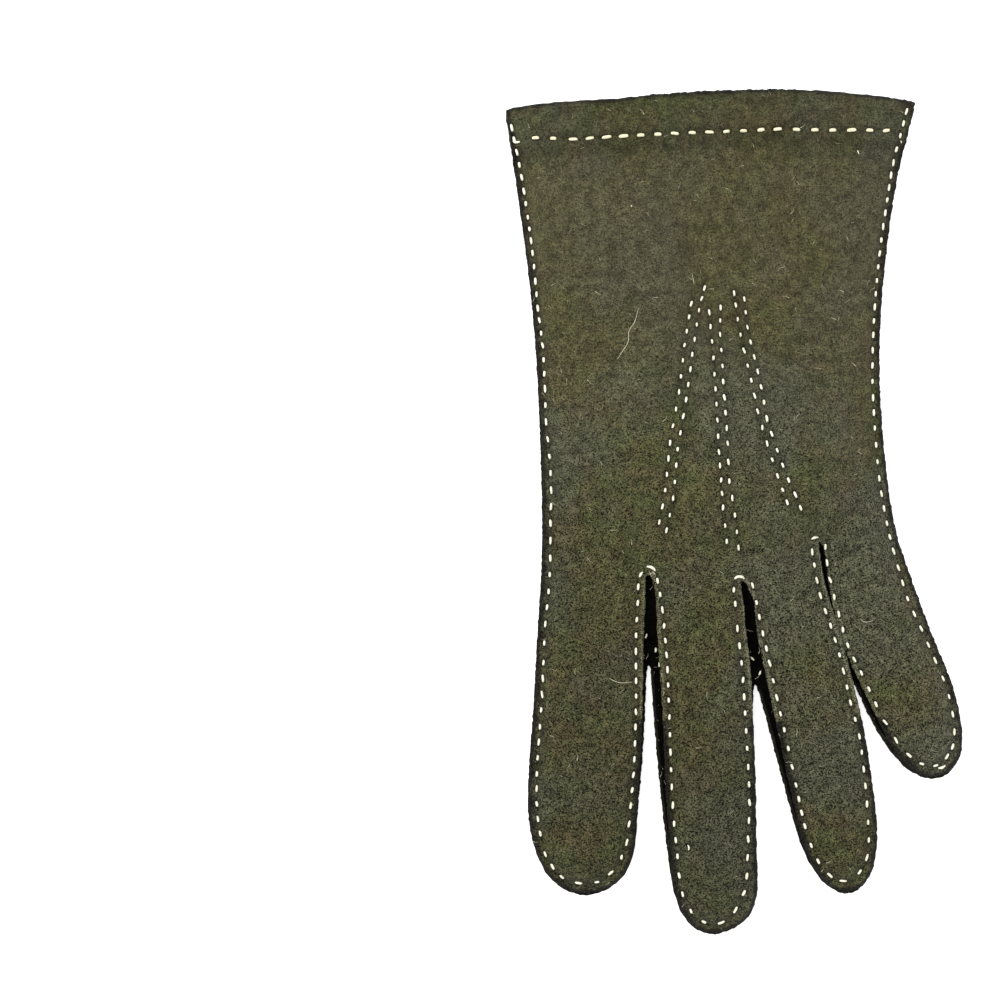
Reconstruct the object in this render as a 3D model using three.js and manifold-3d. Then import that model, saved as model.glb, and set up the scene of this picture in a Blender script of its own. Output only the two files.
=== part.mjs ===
// A left-hand dress driving glove of brushed cotton cloth, lying palm down with its thumb folded under it.
// Millimetres, +Z up, the cuff towards +Y and the fingers towards -Y. The origin is under the middle of the
// glove, on the surface that it lies on.
//
// The glove is cut and sewn as outseam gloves are. A back and a palm are joined face to face round the
// hand, with both cut edges showing outside. Three folded strips, the fourchettes, are the walls between
// the fingers. The thumb is a pouch sewn into a hole in the palm. Every piece is a wall of cloth.

import * as THREE from "three";
import { mergeVertices } from "three/addons/utils/BufferGeometryUtils.js";
import Module from "manifold-3d";

const wasm = await Module();
wasm.setup();

// Driving dimensions

const CLOTH = 1.1; // thickness of the cloth
const SEAM_GAP = 0.5; // clearance between two pieces that lie face to face
const LIP = 1.7; // from a cut edge to its stitch line
const HEM_DEPTH = 10.4; // cloth turned inwards at the cuff
const HEM_FADE = 7; // past the hem, over which its thicker side seam thins down again
const LOFT = 7.4; // from the middle of the palm's cloth to the middle of the back's
const CUFF_FLARE = 2.2; // how much further the mouth of the cuff stands open
const CUFF_FLARE_REACH = 18; // how far the flare runs into the cuff
const CUFF_BOW = 2.3; // how far the cuff's edge bows out in its middle
const POINT_WIDTH = 2.3; // between the two stitch lines of a point
const POINT_RISE = 1.0; // height of a point's fold over the back
const POINT_DIP = 0.2; // how far its two stitch lines draw the cloth in beside it
const POINT_FADE = 5; // over which a fold rises at its top and its foot
const TIP_THINNER = 1.1; // how much lower the back is at the fingertips
const TIP_REACH = 32; // how far up a finger that runs
const THUMB_HEIGHT = 5.0; // of the flattened thumb
const THUMB_LIP = 2.8; // the thumb's own edge round its hole

const HALF = CLOTH / 2;
const FACE_TO_FACE = CLOTH + SEAM_GAP; // between the middles of two layers in a seam

// Outline of the hand at its two side seams, from past the cuff's edge to the outer fingers' middles

const SIDE_TOP = 110; // y where the tables of the sides and of the crests start
const LEFT_SIDE = [
  { y: SIDE_TOP, x: -61.0 },
  { y: 91, x: -58.0 },
  { y: 71, x: -55.2 },
  { y: 48, x: -52.7 },
  { y: 24, x: -51.2 },
  { y: 0, x: -50.4 },
  { y: -16, x: -50.6 },
  { y: -33, x: -51.7 },
  { y: -49, x: -52.6 },
];
const RIGHT_SIDE = [
  { y: SIDE_TOP, x: 46.9 },
  { y: 95, x: 43.0 },
  { y: 79, x: 40.1 },
  { y: 60, x: 37.8 },
  { y: 42, x: 36.8 },
  { y: 24, x: 37.4 },
  { y: 0, x: 40.1 },
  { y: -15, x: 44.0 },
  { y: -30, x: 49.7 },
  { y: -42, x: 54.5 },
];
const CUFF_LEFT_Y = 104.1;
const CUFF_RIGHT_Y = 106.0;

// The three points on the back: the crest of each fold, from the cuff's edge down to the slit between two
// fingers. The fold stands up only between its top and its foot.

const POINTS = [
  {
    top: 59,
    foot: -6,
    crest: [
      { y: SIDE_TOP, x: -22 },
      { y: 80, x: -13.5 },
      { y: 57, x: -10.9 },
      { y: 43, x: -13.5 },
      { y: 23, x: -16.1 },
      { y: 3, x: -18.8 },
    ],
  },
  {
    top: 54,
    foot: -10.5,
    crest: [
      { y: SIDE_TOP, x: -6.5 },
      { y: 80, x: -6.8 },
      { y: 52, x: -6.6 },
      { y: 31, x: -5.4 },
      { y: 7, x: -3.9 },
      { y: -8, x: -2.0 },
    ],
  },
  {
    top: 57.5,
    foot: -0.5,
    crest: [
      { y: SIDE_TOP, x: 9.5 },
      { y: 80, x: 1.5 },
      { y: 55.5, x: -0.4 },
      { y: 35, x: 3.3 },
      { y: 22, x: 6.4 },
      { y: 9, x: 10.8 },
      { y: 1.7, x: 13.6 },
    ],
  },
];

// The slits between the fingers. Each starts nearer the wrist on the back than on the palm, because the
// fourchette slopes like the web of a hand.

const SLITS = [
  { back: { x: -23.7, y: -16.3, width: 2.2 }, palm: { x: -22.6, y: -43, width: 1.1 } },
  { back: { x: 0.6, y: -17.7, width: 1.9 }, palm: { x: 4.7, y: -42, width: 1.1 } },
  { back: { x: 20.2, y: -7.6, width: 1.2 }, palm: { x: 30.4, y: -44, width: 1.1 } },
];
const SLIT_FADE = 8; // from a slit's end, over which a point's two lines come to the slit's width
const LEFT_ROOT = -16; // y of the index finger's outer end of its root
const RIGHT_ROOT = -8; // y of the little finger's

// The index, middle, ring and little finger, each along its middle from its root to where its round end
// starts, and then its tip.
// underLeft and underRight say how far the palm's edge shows past the back's.

const FINGERS = [
  {
    sections: [
      { x: -38.2, y: -33, half: 13.5, underLeft: 0, underRight: 1.1 },
      { x: -38.7, y: -49, half: 13.8, underLeft: 0, underRight: 1.1 },
      { x: -39.5, y: -65, half: 14.0, underLeft: 0, underRight: 1.1 },
      { x: -40.1, y: -80, half: 13.5, underLeft: 0, underRight: 0.9 },
    ],
    tip: { x: -39.0, y: -98.3 },
  },
  {
    sections: [
      { x: -9.8, y: -30, half: 11.2, underLeft: 1.2, underRight: 0.3 },
      { x: -8.3, y: -49, half: 11.4, underLeft: 1.2, underRight: 0.3 },
      { x: -7.3, y: -70, half: 11.5, underLeft: 0.9, underRight: 0.3 },
      { x: -6.5, y: -90, half: 10.9, underLeft: 0.1, underRight: 0.1 },
    ],
    tip: { x: -6.0, y: -108.8 },
  },
  {
    sections: [
      { x: 13.5, y: -26, half: 10.1, underLeft: 1.4, underRight: 0.3 },
      { x: 17.9, y: -43, half: 10.7, underLeft: 1.4, underRight: 0.3 },
      { x: 21.5, y: -58, half: 10.8, underLeft: 1.0, underRight: 0.3 },
      { x: 25.4, y: -79, half: 10.1, underLeft: 0, underRight: 0.1 },
    ],
    tip: { x: 29.0, y: -98 },
  },
  {
    sections: [
      { x: 34.2, y: -19, half: 10.7, underLeft: 0.6, underRight: 0 },
      { x: 39.3, y: -34, half: 11.3, underLeft: 0.6, underRight: 0 },
      { x: 45.5, y: -48, half: 11.0, underLeft: 0.6, underRight: 0 },
    ],
    tip: { x: 53.0, y: -67.2 },
  },
];
const UNDER_TIP = 0.9; // how far the palm's edge shows past the back's at the fingertips
const CLEAR_ALONG = 9; // a section's end this near the end of its slit is passed over
const CLEAR_DOWN = 7; // and so is one that lies no further than this towards the fingertip

// Heights of the cloth's middle at its seams, by the distance to the fingertip. Beside a fourchette the
// back's edge and the palm's edge stand apart; in an outer seam they lie face to face at one level.

const HAND = 120; // stands for a place in the hand, away from every fingertip
const FOURCHETTE_SEAM = [
  { toTip: 0, back: 3.1, palm: 3.1 - FACE_TO_FACE },
  { toTip: 4, back: 3.3, palm: 1.65 },
  { toTip: 14, back: 5.7, palm: 1.25 },
  { toTip: 34, back: 6.6, palm: 1.15 },
  { toTip: HAND, back: 6.7, palm: 1.15 },
];
const OUTER_SEAM = [
  { toTip: 0, level: 3.1 - FACE_TO_FACE / 2 },
  { toTip: 25, level: 3.0 },
  { toTip: HAND, level: 3.4 },
];
const HEM_SEAM_RISE = 0.6; // of a layer, that the doubled side seam of the cuff lies higher

// How far from its lip a panel takes to reach its full height or to come down to the floor

const SHOULDERS = [
  { toTip: 0, backOuter: 7, palmOuter: 4.5, backInner: 6, palmInner: 3.5 },
  { toTip: 40, backOuter: 8, palmOuter: 5, backInner: 5, palmInner: 3.5 },
  { toTip: 110, backOuter: 13, palmOuter: 7, backInner: 6, palmInner: 4 },
];

// The thumb along its middle: half its width, and its lowest and highest surface. Its first rows lie
// under the hole and stand open upwards; the rest is the closed thumb, folded across the palm.

const OPEN_TOP = 14; // higher than the palm, which trims it
const THUMB = [
  { x: -38.0, y: 72, half: 2.2, low: 4.2, high: OPEN_TOP },
  { x: -37.4, y: 65, half: 6.6, low: 1.8, high: OPEN_TOP },
  { x: -36.6, y: 55, half: 9.8, low: 0, high: OPEN_TOP },
  { x: -35.0, y: 44, half: 11.4, low: 0, high: OPEN_TOP },
  { x: -31.4, y: 34, half: 12.4, low: 0, high: OPEN_TOP },
  { x: -24.6, y: 26, half: 12.8, low: 0, high: THUMB_HEIGHT },
  { x: -15.0, y: 20.4, half: 12.7, low: 0, high: THUMB_HEIGHT },
  { x: -4.4, y: 16, half: 12.0, low: 0, high: THUMB_HEIGHT },
  { x: 4.2, y: 12.8, half: 9.6, low: 0.1, high: THUMB_HEIGHT - 0.2 },
  { x: 9.0, y: 11.2, half: 5.7, low: 0.7, high: THUMB_HEIGHT - 0.8 },
  { x: 10.8, y: 10.6, half: 2.0, low: 1.9, high: THUMB_HEIGHT - 2.0 },
];
const HOLE_ROWS = 4; // the rows of THUMB that the hole runs past
const HOLE_END = 0.28; // and how far it goes on towards the next row
const HOLE_ROUND = 0.28; // share of the hole's length that its round end takes
const HOLE_CLOSING = 0.62; // how much the round end closes, 1 being to a point
const THUMB_LIFT = THUMB_HEIGHT + 0.75; // how far the folded thumb raises the glove above it
const LIFT_MARGIN = 2; // the raised part is this much wider than the thumb on each side
const LIFT_SLOPE = 17; // and comes down to the floor over this distance

// Plain functions

const mix = (a, b, t) => a + (b - a) * t;
const clamp = (t) => Math.min(1, Math.max(0, t));
const ease = (t) => clamp(t) ** 2 * (3 - 2 * clamp(t));
const apart = (a, b) => Math.hypot(a.x - b.x, a.y - b.y);
const between = (a, b, t) => ({ x: mix(a.x, b.x, t), y: mix(a.y, b.y, t) });
const toFingertip = (place) => Math.min(...FINGERS.map((finger) => apart(place, finger.tip)));

// The y of the cuff's edge, which bows out between its two ends.
function cuffEdge(x) {
  const across = clamp((x - LEFT_SIDE[0].x) / (RIGHT_SIDE[0].x - LEFT_SIDE[0].x));
  const bow = 4 * across * (1 - across); // 0 at both ends and 1 in the middle
  return mix(CUFF_LEFT_Y, CUFF_RIGHT_Y, across) + CUFF_BOW * bow;
}

// A smooth curve through a table's rows: column as a function of by. by may rise or fall down the rows.
function curveOf(rows, by, column) {
  const points = rows.map((row) => [row[by], row[column]]).sort((a, b) => a[0] - b[0]);
  const slope = points.map((point, i) => {
    const [before, after] = [points[Math.max(0, i - 1)], points[Math.min(points.length - 1, i + 1)]];
    return (after[1] - before[1]) / (after[0] - before[0]);
  });
  return (at) => {
    const last = points.length - 2;
    const i = Math.min(last, Math.max(0, points.findIndex((point) => point[0] > at) - 1));
    const k = at >= points[last + 1][0] ? last : i;
    const width = points[k + 1][0] - points[k][0];
    const t = clamp((at - points[k][0]) / width);
    const [a, b] = [points[k][1], points[k + 1][1]];
    const bend = (slope[k] * (1 - t) - slope[k + 1] * t) * width;
    return mix(a, b, ease(t)) + t * (1 - t) * bend;
  };
}

// The distance from a point to a segment, and how far along the segment the nearest place is.
function toSegment(point, a, b) {
  const run = { x: b.x - a.x, y: b.y - a.y };
  const long = run.x ** 2 + run.y ** 2;
  const share = long ? clamp(((point.x - a.x) * run.x + (point.y - a.y) * run.y) / long) : 0;
  return { share, distance: apart(point, between(a, b, share)) };
}

// How far the folded thumb raises the cloth above a place in the plan.
function lift(point) {
  let raise = 0;
  for (let i = 0; i + 1 < THUMB.length; i++) {
    const near = toSegment(point, THUMB[i], THUMB[i + 1]);
    const half = mix(THUMB[i].half, THUMB[i + 1].half, near.share);
    const beyond = near.distance - half - LIFT_MARGIN;
    raise = Math.max(raise, ease(1 - beyond / LIFT_SLOPE));
  }
  return THUMB_LIFT * raise;
}

// Surfaces of cloth: a middle surface made of quads, which is then given its thickness

const LEAST_MITRE = 0.68; // cosine past which a sharp fold's mitre grows no longer

class Surface {
  vertices = [];
  faces = [];
  found = new Map();

  // A vertex at a place; two calls for one place, to a thousandth of a millimetre, give one vertex.
  vertex(x, y, z = 0) {
    const key = [x, y, z].map((value) => Math.round(value * 1000)).join();
    if (!this.found.has(key)) {
      this.found.set(key, this.vertices.length);
      this.vertices.push(new THREE.Vector3(x, y, z));
    }
    return this.found.get(key);
  }

  // Two triangles, or one where two corners are the same vertex.
  quad(a, b, c, d) {
    for (const face of [[a, b, c], [a, c, d]])
      if (new Set(face).size === 3) this.faces.push(face);
  }

  // Quads between rows of vertices that have the same length.
  rows(rows) {
    for (let j = 0; j + 1 < rows.length; j++)
      for (let i = 0; i + 1 < rows[j].length; i++)
        this.quad(rows[j][i], rows[j + 1][i], rows[j + 1][i + 1], rows[j][i + 1]);
  }

  // Triangles between two lines of vertices that run side by side, across the shorter diagonals.
  strip(upper, lower) {
    const span = (a, b) => this.vertices[a].distanceTo(this.vertices[b]);
    let [i, j] = [0, 0];
    while (i + 1 < upper.length || j + 1 < lower.length) {
      const upperNext = i + 1 < upper.length ? span(upper[i + 1], lower[j]) : Infinity;
      const lowerNext = j + 1 < lower.length ? span(upper[i], lower[j + 1]) : Infinity;
      if (upperNext <= lowerNext) this.faces.push([upper[i], upper[++i], lower[j]]);
      else this.faces.push([upper[i], lower[j + 1], lower[j++]]);
    }
  }

  // The direction of the surface at each vertex, as long as its cloth needs at a fold.
  normals() {
    const sums = this.vertices.map(() => new THREE.Vector3());
    const flat = this.faces.map(([a, b, c]) => {
      const [p, q, r] = [a, b, c].map((i) => this.vertices[i]);
      return new THREE.Vector3().crossVectors(q.clone().sub(p), r.clone().sub(p)).normalize();
    });
    const corner = (face, i) => {
      const at = face.indexOf(i);
      const [p, q, r] = [at, at + 1, at + 2].map((n) => this.vertices[face[n % 3]]);
      return q.clone().sub(p).angleTo(r.clone().sub(p));
    };
    this.faces.forEach((face, f) => {
      for (const i of face) sums[i].addScaledVector(flat[f], corner(face, i));
    });
    sums.forEach((sum) => sum.normalize());
    const least = sums.map(() => 1);
    this.faces.forEach((face, f) => {
      for (const i of face) least[i] = Math.min(least[i], sums[i].dot(flat[f]));
    });
    return sums.map((sum, i) => sum.divideScalar(Math.max(LEAST_MITRE, least[i])));
  }

  // The edges that only one face has, each in that face's direction.
  rim() {
    const edges = new Map();
    for (const [a, b, c] of this.faces)
      for (const [from, to] of [[a, b], [b, c], [c, a]])
        if (!edges.delete(`${to},${from}`)) edges.set(`${from},${to}`, [from, to]);
    return [...edges.values()];
  }

  // The closed body between this surface's vertices moved to near, on its faces' front, and to far.
  closed(near, far) {
    const count = this.vertices.length;
    const triangles = [
      ...this.faces,
      ...this.faces.map(([a, b, c]) => [a + count, c + count, b + count]),
    ];
    for (const [from, to] of this.rim())
      triangles.push([to, from, from + count], [to, from + count, to + count]);
    return meshGeometry([...near, ...far], triangles);
  }

  // The closed wall of cloth: outer is the thickness on the normal's side, inner(vertex) on the other.
  thicken(outer, inner) {
    const normals = this.normals();
    const outside = this.vertices.map((p, i) => p.clone().addScaledVector(normals[i], outer));
    const inside = this.vertices.map((p, i) => p.clone().addScaledVector(normals[i], -inner(p)));
    return this.closed(outside, inside);
  }
}

function meshGeometry(points, triangles) {
  const geometry = new THREE.BufferGeometry().setFromPoints(points);
  geometry.setIndex(triangles.flat());
  return geometry;
}

// The rows of places that a panel's surface is made of

const HEM_ROWS = [0, 1.4, HEM_DEPTH - 0.5, HEM_DEPTH + 0.5]; // from the cuff's edge
const HAND_ROWS = 19; // of equal length, past the hem's own rows
const COLUMNS = 6; // of quads across each finger, and across its part of the hand
const SHOULDER = LIP + 3.4; // from a seam to where the even columns start
const BODY_ROWS = 11; // along a finger, to where its round end starts
const CAP_ANGLES = [22, 44, 63, 79, 90].map((degrees) => (degrees * Math.PI) / 180);
const FORK_ROWS = BODY_ROWS + 1; // a fourchette ends at this row, short of the fingertip

const planCurve = (points) => new THREE.CatmullRomCurve3(points.map((p) => new THREE.Vector3(p.x, p.y, 0)));

// The two ends of each row of a finger on one panel, from its root to its tip.
function fingerEdges(number, panel) {
  const finger = FINGERS[number];
  const slitBefore = SLITS[number - 1]?.[panel];
  const slitAfter = SLITS[number]?.[panel];
  const under = panel === "palm" ? 1 : 0;
  const left = slitBefore
    ? [{ x: slitBefore.x + slitBefore.width / 2, y: slitBefore.y }]
    : [{ x: curveOf(LEFT_SIDE, "y", "x")(LEFT_ROOT), y: LEFT_ROOT }];
  const right = slitAfter
    ? [{ x: slitAfter.x - slitAfter.width / 2, y: slitAfter.y }]
    : [{ x: curveOf(RIGHT_SIDE, "y", "x")(RIGHT_ROOT), y: RIGHT_ROOT }];
  const middle = [...finger.sections, finger.tip];
  const cap = finger.sections.at(-1);
  const across = (i) => {
    const [before, after] = [middle[Math.max(0, i - 1)], middle[i + 1]];
    const long = apart(before, after);
    return { x: -(after.y - before.y) / long, y: (after.x - before.x) / long };
  };
  const clearOfRoot = (points, point) => {
    return apart(points[0], point) > CLEAR_ALONG && point.y < points[0].y - CLEAR_DOWN;
  };
  finger.sections.forEach((section, i) => {
    const side = across(i);
    const [l, r] = [section.half + under * section.underLeft, section.half + under * section.underRight];
    const onLeft = { x: section.x - side.x * l, y: section.y - side.y * l };
    const onRight = { x: section.x + side.x * r, y: section.y + side.y * r };
    const isCap = section === cap;
    if (isCap || clearOfRoot(left, onLeft)) left.push(onLeft);
    if (isCap || clearOfRoot(right, onRight)) right.push(onRight);
  });
  const side = across(finger.sections.length - 1);
  const long = apart(cap, finger.tip);
  const reach = long + under * UNDER_TIP;
  const along = { x: (finger.tip.x - cap.x) / long, y: (finger.tip.y - cap.y) / long };
  const [leftCurve, rightCurve] = [planCurve(left), planCurve(right)];
  const round = (angle, half, sign) => ({
    x: cap.x + along.x * reach * Math.sin(angle) + side.x * half * sign * Math.cos(angle),
    y: cap.y + along.y * reach * Math.sin(angle) + side.y * half * sign * Math.cos(angle),
  });
  const plan = (vector) => ({ x: vector.x, y: vector.y });
  const rows = [];
  for (let j = 0; j <= BODY_ROWS; j++) {
    const t = j / BODY_ROWS;
    rows.push([plan(leftCurve.getPointAt(t)), plan(rightCurve.getPointAt(t))]);
  }
  for (const angle of CAP_ANGLES)
    rows.push([
      round(angle, cap.half + under * cap.underLeft, -1),
      round(angle, cap.half + under * cap.underRight, 1),
    ]);
  return rows;
}

// The places of a row between its two ends: close beside the seams, wide in the middle.
function spread(left, right) {
  const width = apart(left, right);
  const lip = Math.min(LIP, width / COLUMNS);
  const shoulder = Math.min(SHOULDER, (width * 2) / COLUMNS);
  const inner = COLUMNS - 4;
  const along = [0, lip];
  for (let i = 0; i <= inner; i++) along.push(mix(shoulder, width - shoulder, i / inner));
  along.push(width - lip, width);
  return along.map((at) => between(left, right, width ? at / width : 0));
}

// One panel's plan: its rows of places, and the seams round it with what each needs to find its height.
function panelPlan(panel) {
  const leftSide = curveOf(LEFT_SIDE, "y", "x");
  const rightSide = curveOf(RIGHT_SIDE, "y", "x");
  const keys = [{ cuff: CUFF_LEFT_Y, root: LEFT_ROOT, x: leftSide }];
  POINTS.forEach((point, i) => {
    const slit = SLITS[i][panel];
    const crest = curveOf([...point.crest, { y: slit.y, x: slit.x }], "y", "x");
    const cuff = cuffEdge(point.crest[0].x);
    const widthAt = (y) => mix(slit.width, POINT_WIDTH, ease((y - slit.y) / SLIT_FADE));
    const sides = panel === "back" ? [-0.5, 0, 0.5] : [-0.5, 0.5];
    for (const side of sides)
      keys.push({ cuff, root: slit.y, point: i, crest: side === 0, x: (y) => crest(y) + side * widthAt(y) });
  });
  keys.push({ cuff: CUFF_RIGHT_Y, root: RIGHT_ROOT, x: rightSide });

  // The hand's rows, from the cuff's edge to the fingers' roots: a group of places for each finger, and on
  // the back one more for each crest between them.
  const keysEach = panel === "back" ? 3 : 2;
  const places = [];
  for (let j = 0; j < HEM_ROWS.length + HAND_ROWS; j++) {
    const pastHem = j - HEM_ROWS.length + 1;
    const ends = keys.map((key) => {
      const long = key.cuff - key.root;
      const down = pastHem <= 0 ? HEM_ROWS[j] : mix(HEM_ROWS.at(-1), long, pastHem / HAND_ROWS);
      const y = key.cuff - down;
      return { x: key.x(y), y, key };
    });
    const row = [];
    FINGERS.forEach((finger, f) => {
      const [left, right, crest] = ends.slice(f * keysEach);
      row.push(spread(left, right));
      if (panel === "back" && crest) row.push([crest]);
    });
    places.push(row);
  }

  // The fingers' rows, from the root on.
  const fingers = FINGERS.map((finger, f) => {
    return fingerEdges(f, panel).map(([left, right]) => spread(left, right));
  });

  // The seams, as places in a row from the cuff's left end to its right end.
  const seams = [];
  const outer = (place) => ({ ...place, fork: false, toTip: toFingertip(place) });
  places.forEach((row) => seams.push(outer(row[0][0])));
  fingers.forEach((rows, f) => {
    const tip = FINGERS[f].tip;
    rows.forEach((row) => seams.push({ ...row[0], fork: f > 0, toTip: apart(row[0], tip) }));
    const last = FINGERS.length - 1;
    [...rows].reverse().forEach((row) => {
      const place = row.at(-1);
      seams.push({ ...place, fork: f < last, toTip: apart(place, tip) });
    });
  });
  [...places].reverse().forEach((row) => seams.push(outer(row.at(-1).at(-1))));
  return { places, fingers, seams };
}

// Height of a panel's cloth

const seamCurves = {
  back: curveOf(FOURCHETTE_SEAM, "toTip", "back"),
  palm: curveOf(FOURCHETTE_SEAM, "toTip", "palm"),
  level: curveOf(OUTER_SEAM, "toTip", "level"),
};

// How far a place lies inside the cuff's edge.
const toCuff = (place) => Math.max(0, cuffEdge(place.x) - place.y);

// The height of the cloth's middle at a seam of one panel.
function seamHeight(seam, panel) {
  if (seam.fork) return seamCurves[panel](seam.toTip);
  const layers = CLOTH * ease(1 - (toCuff(seam) - HEM_DEPTH) / HEM_FADE);
  const step = FACE_TO_FACE / 2 + layers;
  return seamCurves.level(seam.toTip) + layers * HEM_SEAM_RISE + (panel === "back" ? step : -step);
}

// The height of the cloth's middle at any place of one panel, lying flat.
function panelHeight(place, panel, seams) {
  let best = { distance: Infinity };
  for (let i = 0; i + 1 < seams.length; i++) {
    const near = toSegment(place, seams[i], seams[i + 1]);
    if (near.distance < best.distance) best = { ...near, i };
  }
  const ends = [seams[best.i], seams[best.i + 1]];
  const heights = ends.map((seam) => seamHeight(seam, panel));
  const widths = ends.map((seam) => {
    const column = panel + (seam.fork ? "Inner" : "Outer");
    return curveOf(SHOULDERS, "toTip", column)(seam.toTip);
  });
  const seamLevel = mix(heights[0], heights[1], best.share);
  const shoulder = mix(widths[0], widths[1], best.share);
  const open = 1 - clamp(1 - (best.distance - LIP) / shoulder) ** 2;
  const flare = CUFF_FLARE * clamp(1 - toCuff(place) / CUFF_FLARE_REACH) ** 2;
  const thinner = TIP_THINNER * ease(1 - toFingertip(place) / TIP_REACH);
  const full = HALF + (panel === "back" ? LOFT + flare - thinner : 0);
  return mix(seamLevel, full, best.distance <= LIP ? 0 : open);
}

// The fold of a point, which stands on the crest's column.
function pointRise(place) {
  const point = POINTS[place.key?.point];
  if (!point) return 0;
  const stands = ease((point.top - place.y) / POINT_FADE) * ease((place.y - point.foot) / POINT_FADE);
  return stands * (place.key.crest ? POINT_RISE : -POINT_DIP);
}

function panelSurface(panel) {
  const { places, fingers, seams } = panelPlan(panel);
  const surface = new Surface();
  const at = (place) => {
    const rise = panel === "back" ? pointRise(place) : 0;
    const z = panelHeight(place, panel, seams) + rise + lift(place);
    return surface.vertex(place.x, place.y, z);
  };
  const handRows = places.map((row) => row.flat().map(at));
  surface.rows(handRows);
  for (const rows of fingers) surface.rows(rows.map((row) => row.map(at)));
  return surface;
}

function panelGeometry(panel) {
  const surface = panelSurface(panel);
  if (panel === "palm") surface.faces = surface.faces.map(([a, b, c]) => [a, c, b]);
  const hem = (place) => (toCuff(place) < HEM_DEPTH ? CLOTH : 0);
  return { surface, geometry: surface.thicken(HALF, (place) => HALF + hem(place)) };
}

// Fourchettes: each follows the back's slit above and the palm's slit below, and is a channel between them

const CUT_BACK = 0.3; // how much narrower a fourchette's edge is than the panel's, so that it doesn't show
const WEB_DROP = CLOTH + 0.33; // from the top lip down to where the web starts
const WEB_END = 1.5; // from the last row of the web to the palm's lip

// A fourchette's path along one panel: up the right edge of one finger and down the left edge of the next.
function forkPath(number, panel) {
  const leg = (finger, side) => {
    const tip = FINGERS[finger].tip;
    const rows = fingerEdges(finger, panel).slice(0, FORK_ROWS + 1);
    return rows.map((row) => ({ ...row[side], toTip: apart(row[side], tip) }));
  };
  return [...leg(number, 1).reverse(), ...leg(number + 1, 0)];
}

// The direction from each place of a path into the cloth beside it, in the plan, longer where the path turns.
function intoCloth(path) {
  const headings = path.slice(1).map((place, i) => {
    return new THREE.Vector2(place.x - path[i].x, place.y - path[i].y).normalize();
  });
  const last = headings.length - 1;
  return path.map((place, i) => {
    const [before, after] = [headings[Math.max(0, i - 1)], headings[Math.min(last, i)]];
    const along = before.clone().add(after).normalize();
    const mitre = Math.max(LEAST_MITRE, along.dot(before));
    return { x: -along.y / mitre, y: along.x / mitre };
  });
}

function forkGeometry(number) {
  const surface = new Surface();
  const put = (place, z) => surface.vertex(place.x, place.y, z);

  // The strip's two lips, one along each panel's edge. The wall between them starts at their inner lines.
  const lipAlong = (panel, heightAt) => {
    const path = forkPath(number, panel);
    const into = intoCloth(path);
    return path.map((place, i) => {
      const reach = (distance) => ({ x: place.x + into[i].x * distance, y: place.y + into[i].y * distance });
      const z = heightAt(place.toTip) + lift(place);
      const inner = reach(LIP + HALF);
      return { inner, z, edgeAt: put(reach(CUT_BACK), z), innerAt: put(inner, z) };
    });
  };
  const top = lipAlong("back", (toTip) => seamCurves.back(toTip) - FACE_TO_FACE);
  const foot = lipAlong("palm", (toTip) => seamCurves.palm(toTip) + FACE_TO_FACE);
  surface.rows(top.map((lip) => [lip.edgeAt, lip.innerAt]));
  surface.rows(foot.map((lip) => [lip.innerAt, lip.edgeAt]));

  // The web, which slopes from the end of the back's slit to the end of the palm's.
  const half = FORK_ROWS + 1;
  const legs = [top.slice(0, half).reverse(), top.slice(half)];
  const [webTop, webFoot] = [top[half], foot[half]];
  const isWebbed = (lip) => lip.inner.y > webFoot.inner.y + WEB_END;
  const webRows = Math.min(...legs.map((leg) => leg.filter(isWebbed).length));
  const [webLeft, webRight] = legs.map((leg) =>
    leg.slice(0, webRows).map((lip) => {
      const down = (webTop.inner.y - lip.inner.y) / (webTop.inner.y - webFoot.inner.y);
      return put(lip.inner, mix(webTop.z - WEB_DROP, webFoot.z, down));
    }),
  );
  surface.rows([[...webLeft, foot[half - 1].innerAt], [...webRight, foot[half].innerAt]]);

  // The wall, from the top lip down to the web and, past the web, to the foot's lip.
  const footLine = foot.map((lip) => lip.innerAt);
  const low = [...footLine.slice(0, half), ...[...webLeft].reverse(), ...webRight, ...footLine.slice(half)];
  surface.strip(top.map((lip) => lip.innerAt), low);
  return surface.thicken(HALF, () => HALF);
}

// Solids for joining and cutting

const MERGE = 1e-4; // vertices nearer than this are one
const BELOW = -2; // a height under the whole glove
const GROUND = -8; // and one under all that is built from the palm down

function solidOf(geometry) {
  const bare = geometry.clone();
  bare.deleteAttribute("normal");
  bare.deleteAttribute("uv");
  const merged = mergeVertices(bare, MERGE);
  return new wasm.Manifold(
    new wasm.Mesh({
      numProp: 3,
      vertProperties: new Float32Array(merged.attributes.position.array),
      triVerts: new Uint32Array(merged.index.array),
    }),
  );
}

function geometryOf(solid) {
  const mesh = solid.getMesh();
  const geometry = new THREE.BufferGeometry();
  geometry.setAttribute("position", new THREE.BufferAttribute(mesh.vertProperties, 3));
  geometry.setIndex(new THREE.BufferAttribute(mesh.triVerts, 1));
  return geometry;
}

// An upright prism of an outline in the plan.
function prism(outline, low, high) {
  const shape = new THREE.Shape(outline.map((p) => new THREE.Vector2(p.x, p.y)));
  const geometry = new THREE.ExtrudeGeometry(shape, { depth: high - low, bevelEnabled: false });
  return solidOf(geometry.translate(0, 0, low));
}

// All that lies under the palm's lower face, down to below the floor, moved down by a distance.
function underPalm(surface, down) {
  const normals = surface.normals();
  const roof = surface.vertices.map((p, i) => {
    const face = p.clone().addScaledVector(normals[i], HALF);
    return face.setZ(face.z - down);
  });
  const ground = roof.map((p) => new THREE.Vector3(p.x, p.y, GROUND));
  return solidOf(surface.closed(ground, roof));
}

// The thumb

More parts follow.
